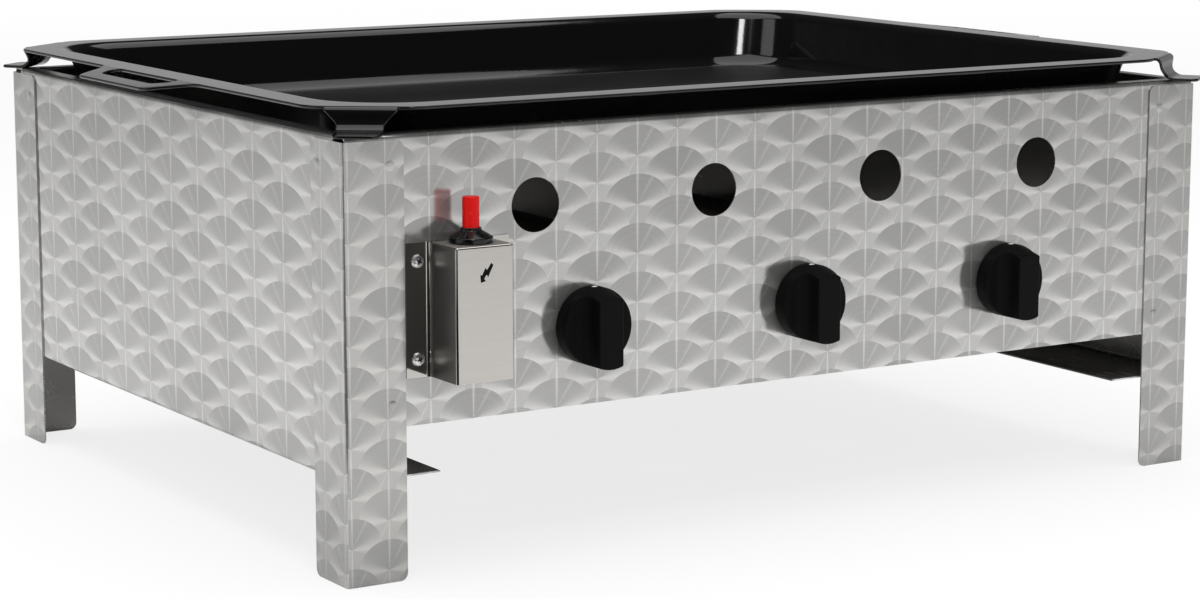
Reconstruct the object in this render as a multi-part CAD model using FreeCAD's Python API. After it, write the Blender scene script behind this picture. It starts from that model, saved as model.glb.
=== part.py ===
import FreeCAD, Part
import math
import os

# Tabletop gas grill: sheet steel body on angle legs, lift-off enamelled pan, three taps and burners.
# Millimetres. Front is -Y, left is -X, +Z is up.

Vec = FreeCAD.Vector
right, back, up = Vec(1, 0, 0), Vec(0, 1, 0), Vec(0, 0, 1)
left, front, down = Vec(-1, 0, 0), Vec(0, -1, 0), Vec(0, 0, -1)

# Body
body_width = 650.0
body_depth = 505.0
body_height = 265.0
sheet = 1.0
panel_bend = 3.0
panel_gap = 0.3
top_flange = 12.0
front_panel_bottom = 92.5
side_panel_bottom = 62.0
floor_flange = 63.0
leg_flange = 40.0
leg_bend = 2.0
leg_corner = 5.0

# Rivets
rivet_edge = 9.0
rivet_top_drop = 15.0
rivet_bottom_rise = 13.5
rivet_shank_r = 1.6
rivet_head_r = 3.2
rivet_head_height = 0.6
rivet_tail_r = 2.4
rivet_tail_height = 0.8
hole_clearance = 0.1
cut_overrun = 1.0
edge_tolerance = 0.05

# Sight holes in the front panel
sight_hole_d = 33.0
sight_hole_drop = 48.0
sight_hole_pitch = 128.0
sight_hole_count = 4
sight_hole_offset = -4.0

# Griddle pan
pan_sheet = 2.0
rim_rise = 16.0
rim_overhang = 6.5
rim_width = 26.0
rim_roll = 8.0
rim_cut_x = 52.0
rim_cut_y = 38.0
rim_kink = 20.0
pan_depth = 42.0
pan_draft = 17.0
pan_corner = 46.0
pan_floor_roll = 14.0
floor_step = 3.0
floor_border = 20.0
floor_step_bevel = 2.4
handle_reach = 28.0
handle_root = 138.0
handle_tip = 100.0
handle_droop = 3.0
handle_tip_round = 9.0
handle_slot_width = 16.0
handle_slot_root = 108.0
handle_slot_tip = 78.0
handle_slot_round = 6.0
tab_root = 43.0
tab_tip = 28.0
tab_tip_round = 5.0
tab_top_bend = 4.0
tab_foot_bend = 8.0
tab_offset = 0.5
tab_overlap = 8.0
tab_tip_overhang = 6.0

# Igniter box
igniter_width = 38.5
igniter_height = 80.0
igniter_depth = 33.5
igniter_bottom = 121.0
igniter_flange = 15.5
igniter_inner_bend = 1.5
igniter_leg_gap = 0.5
igniter_screw_inset = 11.0

# Piezo igniter
button_r = 5.0
button_rise = 27.0
button_travel = 8.0
button_bevel = 0.8
button_flange_r = 6.4
button_flange = 3.0
running_clearance = 0.06
stop_gap = 0.2
collar_base_r = 14.5
collar_skirt = 3.0
collar_top_r = 7.0
collar_height = 10.0
igniter_neck_r = 8.0
igniter_neck_rise = 5.0
igniter_lip_r = 11.0
igniter_lip = 3.0
igniter_body_r = 9.0
igniter_body_length = 58.0
igniter_bore_r = 7.0
igniter_guide = 15.0
igniter_spring_solid = 12.0
igniter_wire = 1.0
terminal_r = 1.5
terminal_length = 4.0

# Taps
tap_height = 142.0
tap_offset = 54.5
cap_r = 11.0
cap_thickness = 4.5
neck_r = 5.5
neck_reach = 5.0
panel_nut_flats = 15.0
panel_nut = 3.0
tap_body_r = 12.0
tap_body_length = 58.0
tap_bore_r = 7.0
tap_bore_depth = 24.0
tap_push = 2.5
spindle_r = 3.0
spindle_flat = 2.2
spindle_collar_r = 5.0
spindle_collar = 2.0
spindle_in_knob = 22.0
spindle_in_plug = 8.5
tap_spring_solid = 3.5
tap_wire = 0.8
plug_port_r = 1.8
tap_stub_r = 8.0
tap_stub_drop = 18.0
spigot_r = 4.0
spigot_length = 3.5
gas_channel_r = 2.0
inlet_channel_r = 3.0
inlet_channel_drop = 4.5
outlet_channel_rise = 3.0
jet_seat_r = 4.0
jet_seat_depth = 7.0
jet_thread_length = 6.0
jet_hex_flats = 9.0
jet_hex_length = 5.5
jet_tip_r = 3.0
jet_tip_length = 6.0
jet_nose_r = 2.1
jet_orifice_r = 0.45

# Knobs
knob_r = 24.0
knob_tip_r = 23.4
knob_gap = 3.5
knob_reach = 29.0
knob_skirt = 10.5
knob_edge = 1.2
knob_bar_width = 17.0
knob_scoop = 7.0
knob_bar_top = 19.5
knob_wall = 2.5
knob_hollow = 8.5
knob_hub_r = 6.5
knob_nut_clearance = 0.7

# Gas manifold and inlet
manifold_setback = 52.0
manifold_size = 18.0
manifold_wall = 1.5
manifold_corner = 2.5
manifold_overrun = 25.0
manifold_inlet_gap = 24.0
end_plug_flange = 2.0
end_plug_length = 8.0
inlet_thread_r = 6.58
inlet_thread_length = 14.0
inlet_relief = 0.2
inlet_bore_r = 3.0
inlet_hex_flats = 17.0
inlet_spigot_length = 10.0
inlet_nut = 4.0

# Burners
burner_gap = 3.0
burner_r = 14.0
burner_wall = 1.0
mouth_r = 13.0
mouth_length = 25.0
throat_r = 8.5
throat_run = 18.0
flare_run = 40.0
burner_rear_gap = 45.0
air_window_length = 14.0
air_window_height = 12.0
air_window_inset = 5.5
port_r = 1.25
port_pitch = 12.0
port_angle = 35.0
port_margin = 12.0
end_plate = 1.5
end_plate_half = 13.0
end_plate_rise = 15.0
end_plate_drop = 34.0
burner_screw_drop = 26.0

# Burner rails
rail_sheet = 1.5
rail_height = 28.0
rail_flange = 18.0
rail_tab = 25.0
front_rail_overlap = 5.0
saddle_clearance = 0.2
rear_rail_top_drop = 16.0

# Spark electrode and lead
electrode_offset = 27.0
electrode_rise = 8.0
electrode_tab_half = 8.0
electrode_tab_rise = 8.0
insulator_r = 3.25
insulator_shoulder_r = 5.0
insulator_shoulder = 4.0
insulator_front = 20.0
insulator_rear = 32.0
electrode_r = 1.2
electrode_stub = 8.0
electrode_reach = 20.0
electrode_bend = 4.0
spark_gap = 4.0
lead_r = 2.5
lead_hole_r = 4.0
lead_drop = 10.0
lead_turn = 7.0
lead_run_in = 30.0
lead_run_out = 26.0
lead_sweep = 22.0

# Screws
screw_r = 2.0
screw_head_r = 4.0
screw_head = 2.4
screw_head_bevel = 1.2
screw_recess = 1.2
screw_recess_width = 0.9
screw_recess_span = 4.4
nut_flats = 7.0
nut_height = 3.2
thread_tail = 1.5

# Places that follow from the sizes
half_width = body_width / 2
half_depth = body_depth / 2
side_face = half_width - sheet
front_face = -(half_depth - sheet)
side_inner = side_face - sheet
leg_height = body_height - panel_bend
igniter_x = -half_width + leg_flange + igniter_leg_gap + igniter_flange + igniter_width / 2
igniter_y = front_face - igniter_depth / 2
igniter_top = igniter_bottom + igniter_height
igniter_right_edge = igniter_x + igniter_width / 2 + igniter_flange
button_shoulder = -igniter_guide - stop_gap
spring_head = button_shoulder - button_flange
spring_foot = spring_head - button_travel - igniter_spring_solid
igniter_floor = -sheet - igniter_body_length
tap_x = {"left": igniter_right_edge + tap_offset, "centre": 0.0, "right": -igniter_right_edge - tap_offset}
tap_body_front = sheet + cap_thickness
tap_body_rear = tap_body_front + tap_body_length
collar_face = tap_body_front + stop_gap
collar_back = collar_face + spindle_collar
plug_face = collar_back + tap_push + tap_spring_solid
plug_back = tap_body_front + tap_bore_depth - stop_gap
manifold_y = front_face + manifold_setback
manifold_top = tap_height - tap_stub_drop
manifold_z = manifold_top - manifold_size / 2
burner_front = front_face + tap_body_rear + burner_gap
burner_tube_front = burner_front + mouth_length + throat_run + flare_run
burner_rear = -front_face - sheet - burner_rear_gap
front_rail_y = burner_tube_front + front_rail_overlap
electrode_x = tap_x["left"] - electrode_offset
electrode_z = tap_height + electrode_rise


# Shape helpers

def block(low, high):
    size = high.sub(low)
    return Part.makeBox(size.x, size.y, size.z, low)


def rod(radius, start, end):
    axis = end.sub(start)
    return Part.makeCylinder(radius, axis.Length, start, axis)


def placed(shape, start, axis):
    shape.Placement = FreeCAD.Placement(start, FreeCAD.Rotation(up, axis))
    return shape


def turned(profile, start, axis):
    """Solid of revolution from (radius, distance along the axis) points."""
    points = [Vec(radius, 0, along) for radius, along in profile]
    face = Part.Face(Part.makePolygon(points + points[:1]))
    return placed(face.revolve(Vec(), up, 360), start, axis)


def hexagon(flats, length, start, axis):
    radius = flats / math.sqrt(3)
    turns = [math.radians(60 * step) for step in range(6)]
    points = [Vec(radius * math.cos(turn), radius * math.sin(turn), 0) for turn in turns]
    face = Part.Face(Part.makePolygon(points + points[:1]))
    return placed(face.extrude(up * length), start, axis)


def joined(shapes):
    return shapes[0].multiFuse(shapes[1:]).removeSplitter()


def rounded_corner(before, point, after, radius):
    """Start, middle and end of the arc that rounds one corner."""
    behind = before.sub(point).normalize()
    ahead = after.sub(point).normalize()
    half = behind.getAngle(ahead) / 2
    tangent = radius / math.tan(half)
    towards = (behind + ahead).normalize()
    centre = point + towards * (radius / math.sin(half))
    return point + behind * tangent, centre - towards * radius, point + ahead * tangent


def rounded_wire(points, radii, closed=True):
    """Straight runs through the points, with a tangent arc wherever a radius is given."""
    count = len(points)
    edges = []
    corners = []
    for index, (point, radius) in enumerate(zip(points, radii)):
        if radius > 0:
            corners.append(rounded_corner(points[index - 1], point, points[(index + 1) % count], radius))
        else:
            corners.append((point, None, point))
    for index, (start, middle, end) in enumerate(corners):
        if middle:
            edges.append(Part.Arc(start, middle, end).toShape())
        if index + 1 < count or closed:
            run_end = corners[(index + 1) % count][0]
            if end.distanceToPoint(run_end) > 1e-6:
                edges.append(Part.LineSegment(end, run_end).toShape())
    return Part.Wire(Part.__sortEdges__(edges))


def flat_points(pairs):
    return [Vec(across, along, 0) for across, along in pairs]


def strip_wire(points, radii, thickness):
    """Closed outline of a bent strip: the path, and the same path offset to its left by the thickness."""
    offset_points = []
    offset_radii = []
    steps = [after.sub(before).normalize() for before, after in zip(points, points[1:])]
    normals = [Vec(-step.y, step.x, 0) for step in steps]
    for index, (point, radius) in enumerate(zip(points, radii)):
        first = normals[max(index - 1, 0)]
        second = normals[min(index, len(normals) - 1)]
        offset_points.append(point + (first + second) * (thickness / (1 + first.dot(second))))
        turn = first.cross(second).z
        offset_radii.append(radius - math.copysign(thickness, turn * thickness) if radius else 0)
    return rounded_wire(points + offset_points[::-1], radii + offset_radii[::-1])


def extruded(wire, length, origin, across, along):
    """Prism of a flat outline, laid in the plane of two directions and drawn out square to it."""
    solid = Part.Face(wire).extrude(up * length)
    solid.Placement = FreeCAD.Placement(origin, FreeCAD.Rotation(across, along, across.cross(along), "ZXY"))
    return solid


def mirrored_x(shape):
    return shape.mirror(Vec(), right)


def mirrored_y(shape):
    return shape.mirror(Vec(), back)


# Fasteners

def rivet(place, outward):
    grip = -2 * sheet
    crown_r = rivet_head_r - rivet_head_height
    profile = [(0, rivet_head_height), (crown_r, rivet_head_height), (rivet_head_r, 0), (rivet_shank_r, 0),
               (rivet_shank_r, grip), (rivet_tail_r, grip),
               (rivet_tail_r, grip - rivet_tail_height), (0, grip - rivet_tail_height)]
    return turned(profile, place, outward)


def rivet_hole(place, outward):
    reach = outward * (2 * sheet + rivet_head_height)
    return rod(rivet_shank_r + hole_clearance, place - reach, place + reach)


def screw(grip, place, outward):
    """Pan-head cross-recess screw: its head seats at the place and its shank runs inward through the grip."""
    crown_r = screw_head_r - screw_head_bevel
    profile = [(0, screw_head), (crown_r, screw_head), (screw_head_r, screw_head - screw_head_bevel),
               (screw_head_r, 0), (screw_r, 0), (screw_r, -grip), (0, -grip)]
    body = turned(profile, Vec(), up)
    for long_x, long_y in ((screw_recess_span, screw_recess_width), (screw_recess_width, screw_recess_span)):
        corner = Vec(long_x / 2, long_y / 2, 0)
        body = body.cut(block(Vec(0, 0, screw_head - screw_recess) - corner, Vec(0, 0, screw_head) + corner))
    return placed(body, place, outward)


def nut(flats, height, bore_r, place, outward):
    body = hexagon(flats, height, place, outward)
    overrun = outward * cut_overrun
    return body.cut(rod(bore_r, place - overrun, place + outward * height + overrun))


# Body panels

def flanged_profile(bottom, flange_at_floor):
    """Upright sheet section with its outer face on the vertical axis and its flanges turned inward."""
    path = [(0, bottom), (0, body_height), (top_flange, body_height)]
    radii = [0, panel_bend, 0]
    if flange_at_floor:
        path = [(flange_at_floor, bottom)] + path
        radii = [0, panel_bend] + radii[1:]
    return strip_wire(flat_points(path), radii, -sheet)


def rivet_rows():
    """Height of the upper and the lower rivet in each leg flange."""
    return leg_height - rivet_top_drop, front_panel_bottom + rivet_bottom_rise


def rivet_places():
    """Rivet seats of the front left leg: its front flange, then its side flange."""
    from_corner = leg_flange - rivet_edge
    places = []
    for height in rivet_rows():
        places.append((Vec(-half_width + from_corner, -half_depth, height), front))
        places.append((Vec(-half_width, -half_depth + from_corner, height), left))
    return places


def all_rivet_places():
    places = []
    for side in (1, -1):
        for end in (1, -1):
            for place, outward in rivet_places():
                flip = Vec(side, end, 1)
                places.append((Vec(place.x * flip.x, place.y * flip.y, place.z),
                               Vec(outward.x * flip.x, outward.y * flip.y, 0)))
    return places


def riveted(panel):
    return panel.cut(Part.makeCompound([rivet_hole(place, outward) for place, outward in all_rivet_places()]))


def end_panel():
    """Front or rear panel, lying between the side panels."""
    half = side_inner - panel_gap
    wire = flanged_profile(front_panel_bottom, 0)
    return riveted(extruded(wire, 2 * half, Vec(-half, front_face, 0), back, up))


def front_panel():
    holes = []
    first = sight_hole_offset - sight_hole_pitch * (sight_hole_count - 1) / 2
    for index in range(sight_hole_count):
        centre = Vec(first + sight_hole_pitch * index, front_face, body_height - sight_hole_drop)
        holes.append(rod(sight_hole_d / 2, centre - back * sheet, centre + back * 2 * sheet))
    for x in tap_x.values():
        centre = Vec(x, front_face, tap_height)
        holes.append(rod(neck_r + hole_clearance, centre - back * sheet, centre + back * 2 * sheet))
    for place in igniter_screw_places():
        holes.append(rod(screw_r + hole_clearance, place - back * sheet, place + back * 3 * sheet))
    lead_hole = Vec(igniter_x, front_face, igniter_lead_z())
    holes.append(rod(lead_hole_r, lead_hole - back * sheet, lead_hole + back * 2 * sheet))
    return end_panel().cut(Part.makeCompound(holes))


def left_side_panel():
    """Side panel with its top flange cut back at both ends, clear of the front and rear flanges."""
    half = half_depth - sheet - leg_bend
    wire = flanged_profile(side_panel_bottom, floor_flange)
    panel = extruded(wire, 2 * half, Vec(-side_face, half, 0), right, up)
    relief = top_flange + panel_gap
    for end in (-1, 1):
        inner = end * (half_depth - sheet - relief)
        outer = end * half_depth
        low = Vec(-half_width, min(inner, outer), leg_height)
        high = Vec(-side_face + top_flange + sheet, max(inner, outer), body_height + sheet)
        panel = panel.cut(block(low, high))
    return riveted(panel)


def right_side_panel():
    hole = Vec(side_face, manifold_y, manifold_z)
    return mirrored_x(left_side_panel()).cut(
        rod(inlet_thread_r + hole_clearance, hole - right * 2 * sheet, hole + right * sheet))


def front_left_leg():
    corner = Vec(-half_width, -half_depth, 0)
    path = [corner + back * leg_flange, corner, corner + right * leg_flange]
    angle = extruded(strip_wire(path, [0, leg_bend, 0], sheet), leg_height, Vec(), right, back)
    face = [(-sheet, 0), (leg_flange, 0), (leg_flange, leg_height), (-sheet, leg_height)]
    outline = rounded_wire(flat_points(face), [0, leg_corner, leg_corner, 0])
    reach = leg_flange + 2 * sheet
    front_trim = extruded(outline, reach, corner + back * (leg_flange + sheet), right, up)
    side_trim = extruded(outline, reach, corner + left * sheet, back, up)
    return riveted(angle.common(front_trim).common(side_trim))


# Griddle pan

def basin(half_x, half_y, depth, top, corner_r, floor_r):
    """Drafted block with rounded upright corners and a rounded floor edge, hanging from a level plane."""
    shrink = depth * math.tan(math.radians(pan_draft))
    solid = Part.makeWedge(-half_x + shrink, 0, -half_y + shrink, -half_y, -half_x,
                           half_x - shrink, depth, half_y - shrink, half_y, half_x)
    solid.Placement = FreeCAD.Placement(Vec(0, 0, top - depth), FreeCAD.Rotation(right, 90))
    uprights = [edge for edge in solid.Edges if abs(edge.BoundBox.ZLength - depth) < edge_tolerance]
    solid = solid.makeFillet(corner_r, uprights)
    floor_edges = [edge for edge in solid.Edges if edge.BoundBox.ZMax < top - depth + edge_tolerance]
    return solid.makeFillet(floor_r, floor_edges)


def rolled_basin(half_x, half_y, depth, top, corner_r, floor_r, roll):
    """The basin below a wide slab, with the edge between them rolled over."""
    far_corner = Vec(half_x + 2 * rim_width, half_y + 2 * rim_width, 0)
    slab = block(up * top - far_corner, up * (top + rim_rise) + far_corner)
    solid = basin(half_x, half_y, depth, top, corner_r, floor_r).fuse(slab).removeSplitter()
    level_edges = [edge for edge in solid.Edges
                   if max(abs(edge.BoundBox.ZMin - top), abs(edge.BoundBox.ZMax - top)) < edge_tolerance]
    rim_edges = [edge for edge in level_edges
                 if max(edge.BoundBox.XMax, -edge.BoundBox.XMin) < half_x + edge_tolerance]
    return solid.makeFillet(roll, rim_edges)


def rim_outline(half_x, half_y):
    quarter = [(half_x - rim_cut_x, half_y), (half_x, half_y - rim_cut_y)]
    points = quarter + [(x, -y) for x, y in quarter[::-1]]
    points += [(-x, y) for x, y in points[::-1]]
    return rounded_wire(flat_points(points), [rim_kink] * len(points))


def pan_handle(rim_x, rim_top):
    """Loop handle of the right side, sloping a little from the rim."""
    tip_x = rim_x + handle_reach
    inset = rim_width / 2
    plan = [(rim_x - inset, -handle_root / 2), (rim_x, -handle_root / 2), (tip_x, -handle_tip / 2),
            (tip_x, handle_tip / 2), (rim_x, handle_root / 2), (rim_x - inset, handle_root / 2)]
    radii = [0, 0, handle_tip_round, handle_tip_round, 0, 0]
    slot_x = rim_x + handle_slot_width
    slot = [(rim_x, -handle_slot_root / 2), (slot_x, -handle_slot_tip / 2),
            (slot_x, handle_slot_tip / 2), (rim_x, handle_slot_root / 2)]
    section = [(rim_x - inset, rim_top), (rim_x, rim_top), (tip_x, rim_top - handle_droop)]
    strip = strip_wire(flat_points(section), [0, 0, 0], -pan_sheet)
    plate = extruded(strip, 2 * handle_root, Vec(0, handle_root, 0), right, up)
    depth = 4 * (handle_droop + pan_sheet)
    base = Vec(0, 0, rim_top - depth / 2)
    outline = extruded(rounded_wire(flat_points(plan), radii), depth, base, right, back)
    opening = extruded(rounded_wire(flat_points(slot), [handle_slot_round] * 4), depth, base, right, back)
    return plate.common(outline).cut(opening)


def pan_foot(rim_x, rim_y, rim_top):
    """Bent foot at the front left: it leaves the cut corner, narrows as it drops, and turns out over the body."""
    outward = Vec(-rim_cut_y, -rim_cut_x, 0).normalize()
    across = up.cross(outward)
    root = Vec(-rim_x + rim_cut_x / 2, -rim_y + rim_cut_y / 2, 0)
    reach = (Vec(-half_width, -half_depth, 0) - root).dot(outward) + tab_tip_overhang
    foot_top = body_height + pan_sheet
    drop_x = tab_offset + tab_top_bend
    path = [(-tab_overlap, rim_top), (drop_x, rim_top), (drop_x, foot_top), (reach, foot_top)]
    section = strip_wire(flat_points(path), [0, tab_top_bend, tab_foot_bend, 0], -pan_sheet)
    bent = extruded(section, 2 * tab_root, root + across * tab_root, outward, up)
    width = [(-tab_tip / 2, body_height - pan_sheet), (-tab_tip / 2, foot_top + tab_foot_bend / 2),
             (-tab_root / 2, rim_top - pan_sheet), (-tab_root / 2, rim_top + pan_sheet)]
    width += [(-side, height) for side, height in width[::-1]]
    face = extruded(rounded_wire(flat_points(width), [0] * len(width)), 2 * tab_overlap + reach,
                    root - outward * 1.5 * tab_overlap, across, up)
    foot = bent.common(face)
    tip = [edge for edge in foot.Edges if abs(edge.BoundBox.ZLength - pan_sheet) < edge_tolerance
           and (edge.CenterOfMass - root).dot(outward) > reach - edge_tolerance]
    return foot.makeFillet(tab_tip_round, tip)


def griddle_pan():
    rim_top = body_height + rim_rise
    rim_x = half_width + rim_overhang
    rim_y = half_depth + rim_overhang
    half_x = rim_x - rim_width
    half_y = rim_y - rim_width
    slant = pan_sheet / math.cos(math.radians(pan_draft)) - pan_sheet * math.tan(math.radians(pan_draft))
    inside = rolled_basin(half_x, half_y, pan_depth, rim_top, pan_corner, pan_floor_roll, rim_roll)
    outside = rolled_basin(half_x + slant, half_y + slant, pan_depth, rim_top - pan_sheet,
                           pan_corner + pan_sheet, pan_floor_roll + pan_sheet, rim_roll - pan_sheet)
    floor = rim_top - pan_depth
    shrink = pan_depth * math.tan(math.radians(pan_draft)) + floor_border
    plate_x, plate_y = half_x - shrink, half_y - shrink
    raised = basin_step(plate_x, plate_y, floor)
    pressed = basin_step(plate_x, plate_y, floor - pan_sheet)
    base = floor - pan_sheet
    rim = extruded(rim_outline(rim_x, rim_y), pan_depth + pan_sheet, Vec(0, 0, base), right, back)
    shell = outside.common(rim).cut(inside).fuse(raised).cut(pressed)
    pieces = [shell]
    handle = pan_handle(rim_x, rim_top)
    foot = pan_foot(rim_x, rim_y, rim_top)
    pieces += [handle, mirrored_x(handle)]
    pieces += [foot, mirrored_x(foot), mirrored_y(foot), mirrored_x(mirrored_y(foot))]
    return joined(pieces)


def basin_step(half_x, half_y, level):
    """Low plateau pressed up in the pan floor, soft at its upper edge."""
    solid = block(Vec(-half_x, -half_y, level), Vec(half_x, half_y, level + floor_step))
    uprights = [edge for edge in solid.Edges if edge.BoundBox.ZLength > floor_step / 2]
    solid = solid.makeFillet(pan_corner - floor_border, uprights)
    rim_edges = [edge for edge in solid.Edges if edge.BoundBox.ZMin > level + floor_step / 2]
    return solid.makeChamfer(floor_step_bevel, rim_edges)


# Igniter

def igniter_screw_places():
    """Screw axes through the igniter box flanges, on the front panel's outer face."""
    out = igniter_width / 2 + igniter_flange / 2
    heights = (igniter_bottom + igniter_screw_inset, igniter_top - igniter_screw_inset)
    return [Vec(igniter_x + side * out, front_face, height) for side in (-1, 1) for height in heights]


def igniter_box():
    """Folded channel with two screw flanges and a closed top."""
    half = igniter_width / 2
    inner = half - sheet
    wall = front_face - igniter_depth + sheet
    path = [(-half - igniter_flange, front_face), (-inner, front_face), (-inner, wall),
            (inner, wall), (inner, front_face), (half + igniter_flange, front_face)]
    radii = [0, igniter_inner_bend, igniter_inner_bend / 2, igniter_inner_bend / 2, igniter_inner_bend, 0]
    channel = extruded(strip_wire(flat_points(path), radii, -sheet), igniter_height,
                       Vec(igniter_x, 0, igniter_bottom), right, back)
    lid_wire = rounded_wire(flat_points(path[1:5]), [0] + radii[2:4] + [0])
    lid = extruded(lid_wire, sheet, Vec(igniter_x, 0, igniter_top - sheet), right, back)
    box = joined([channel, lid])
    top = Vec(igniter_x, igniter_y, igniter_top)
    holes = [rod(igniter_neck_r + hole_clearance, top - up * 2 * sheet, top + up * sheet)]
    for place in igniter_screw_places():
        holes.append(rod(screw_r + hole_clearance, place - back * 2 * sheet, place + back * sheet))
    return box.cut(Part.makeCompound(holes))


def igniter_axis(along):
    """Point on the button's axis, measured up from the top of the igniter box."""
    return Vec(igniter_x, igniter_y, igniter_top + along)


def igniter_body():
    guide_r = button_r + running_clearance
    lip_foot = -sheet - igniter_lip
    profile = [(guide_r, igniter_neck_rise), (igniter_neck_r, igniter_neck_rise), (igniter_neck_r, -sheet),
               (igniter_lip_r, -sheet), (igniter_lip_r, lip_foot), (igniter_body_r, lip_foot),
               (igniter_body_r, igniter_floor), (igniter_bore_r, igniter_floor),
               (igniter_bore_r, -igniter_guide), (guide_r, -igniter_guide)]
    return turned(profile, igniter_axis(0), up)


def igniter_collar():
    inner_r = igniter_neck_r + running_clearance
    button_hole_r = button_r + 3 * running_clearance
    roof = igniter_neck_rise + stop_gap
    profile = [(inner_r, 0), (collar_base_r, 0), (collar_base_r, collar_skirt), (collar_top_r, collar_height),
               (button_hole_r, collar_height), (button_hole_r, roof), (inner_r, roof)]
    return turned(profile, igniter_axis(0), up)


def igniter_button():
    profile = [(0, button_rise), (button_r - button_bevel, button_rise),
               (button_r, button_rise - button_bevel), (button_r, button_shoulder),
               (button_flange_r, button_shoulder), (button_flange_r, spring_head), (0, spring_head)]
    return turned(profile, igniter_axis(0), up)


def igniter_spring():
    outer = button_flange_r - stop_gap
    inner = outer - igniter_wire
    profile = [(inner, spring_foot), (outer, spring_foot), (outer, spring_head), (inner, spring_head)]
    return turned(profile, igniter_axis(0), up)


def piezo_element():
    outer = igniter_bore_r - running_clearance
    profile = [(0, spring_foot), (outer, spring_foot), (outer, igniter_floor), (terminal_r, igniter_floor),
               (terminal_r, igniter_floor - terminal_length), (0, igniter_floor - terminal_length)]
    return turned(profile, igniter_axis(0), up)


def lead_start():
    return igniter_axis(igniter_floor - terminal_length)


def igniter_lead_z():
    return lead_start().z - lead_drop


def ignition_lead():
    """Lead from the piezo terminal, through the front panel behind the box, to the electrode."""
    start = lead_start()
    low = Vec(start.x, start.y, igniter_lead_z())
    inside = Vec(start.x, front_face + lead_run_in, low.z)
    end = electrode_front()
    approach = end - back * lead_run_out
    route = [start, low, inside, approach, end]
    wire = rounded_wire(route, [0, lead_turn, lead_sweep, lead_sweep, 0], closed=False)
    section = Part.Wire(Part.makeCircle(lead_r, start, down))
    lead = wire.makePipeShell([section], True, False)
    print("lead volume over section times length:", lead.Volume / (math.pi * lead_r ** 2 * wire.Length))
    return lead


# Spark electrode

def electrode_front():
    return Vec(electrode_x, front_rail_y - insulator_front - electrode_stub, electrode_z)


def electrode_insulator():
    bore = electrode_r + running_clearance
    profile = [(bore, -insulator_front), (insulator_r, -insulator_front), (insulator_r, -insulator_shoulder),
               (insulator_shoulder_r, -insulator_shoulder), (insulator_shoulder_r, 0), (insulator_r, 0),
               (insulator_r, insulator_rear), (bore, insulator_rear)]
    return turned(profile, Vec(electrode_x, front_rail_y, electrode_z), back)


def electrode_rod():
    """Rod through the insulator, bent over so that its tip stops short of the burner's flank."""
    start = electrode_front()
    bend = Vec(electrode_x, front_rail_y + insulator_rear + electrode_reach, electrode_z)
    flank = math.sqrt((burner_r + spark_gap) ** 2 - electrode_rise ** 2)
    tip = Vec(tap_x["left"] - flank, bend.y, bend.z)
    wire = rounded_wire([start, bend, tip], [0, electrode_bend, 0], closed=False)
    section = Part.Wire(Part.makeCircle(electrode_r, start, back))
    return wire.makePipeShell([section], True, False)


# Taps, measured inward from the front panel's outer face

def tap_axis(x, along):
    return Vec(x, front_face + along, tap_height)


def flatted(radius, flat, start_along, end_along, x):
    """D-section bar on a tap's axis, flat uppermost."""
    bar = rod(radius, tap_axis(x, start_along), tap_axis(x, end_along))
    low = tap_axis(x, start_along) + Vec(-radius, 0, flat)
    return bar.cut(block(low, low + Vec(2 * radius, end_along - start_along, radius)))


def valve_cap(x):
    bore = spindle_r + running_clearance
    profile = [(bore, -neck_reach), (neck_r, -neck_reach), (neck_r, sheet), (cap_r, sheet),
               (cap_r, tap_body_front), (bore, tap_body_front)]
    return turned(profile, tap_axis(x, 0), back)


def valve_body(x):
    bore_end = tap_body_front + tap_bore_depth
    profile = [(tap_bore_r, tap_body_front), (tap_body_r, tap_body_front), (tap_body_r, tap_body_rear),
               (0, tap_body_rear), (0, bore_end), (tap_bore_r, bore_end)]
    body = turned(profile, tap_axis(x, 0), back)
    stub_top = tap_axis(x, manifold_setback)
    stub_foot = stub_top - up * tap_stub_drop
    stub = rod(tap_stub_r, stub_foot, stub_top)
    spigot = rod(spigot_r, stub_foot - up * spigot_length, stub_top)
    body = joined([body, stub, spigot])
    bore_floor = tap_axis(x, bore_end - cut_overrun)
    inlet_end = stub_top - up * inlet_channel_drop
    inlet = rod(gas_channel_r, bore_floor - up * inlet_channel_drop, inlet_end)
    feed_foot = stub_foot - up * (spigot_length + cut_overrun)
    feed = rod(inlet_channel_r, feed_foot, inlet_end + up * inlet_channel_r)
    seat_floor = tap_body_rear - jet_seat_depth
    seat = rod(jet_seat_r, tap_axis(x, seat_floor), tap_axis(x, tap_body_rear + cut_overrun))
    lift = up * outlet_channel_rise
    outlet_end = tap_axis(x, (seat_floor + tap_body_rear - jet_thread_length) / 2)
    outlet = rod(gas_channel_r, bore_floor + lift, outlet_end + lift)
    return body.cut(Part.makeCompound([feed, seat])).cut(inlet).cut(outlet)


def valve_plug(x):
    plug = rod(tap_bore_r - running_clearance, tap_axis(x, plug_face), tap_axis(x, plug_back))
    socket_end = plug_face + spindle_in_plug + tap_push + stop_gap
    fit = running_clearance
    socket = flatted(spindle_r + fit, spindle_flat + fit, plug_face - cut_overrun, socket_end, x)
    port_at = tap_axis(x, (socket_end + plug_back) / 2)
    port = rod(plug_port_r, port_at - right * tap_body_r, port_at + right * tap_body_r)
    return plug.cut(socket).cut(port)


def valve_stem(x):
    flat_start = plug_face - tap_push - stop_gap
    shaft = rod(spindle_r, tap_axis(x, -neck_reach), tap_axis(x, flat_start))
    ring = rod(spindle_collar_r, tap_axis(x, collar_face), tap_axis(x, collar_back))
    knob_end = flatted(spindle_r, spindle_flat, -spindle_in_knob, -neck_reach, x)
    plug_end = flatted(spindle_r, spindle_flat, flat_start, plug_face + spindle_in_plug, x)
    return joined([shaft, ring, knob_end, plug_end])


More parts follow.
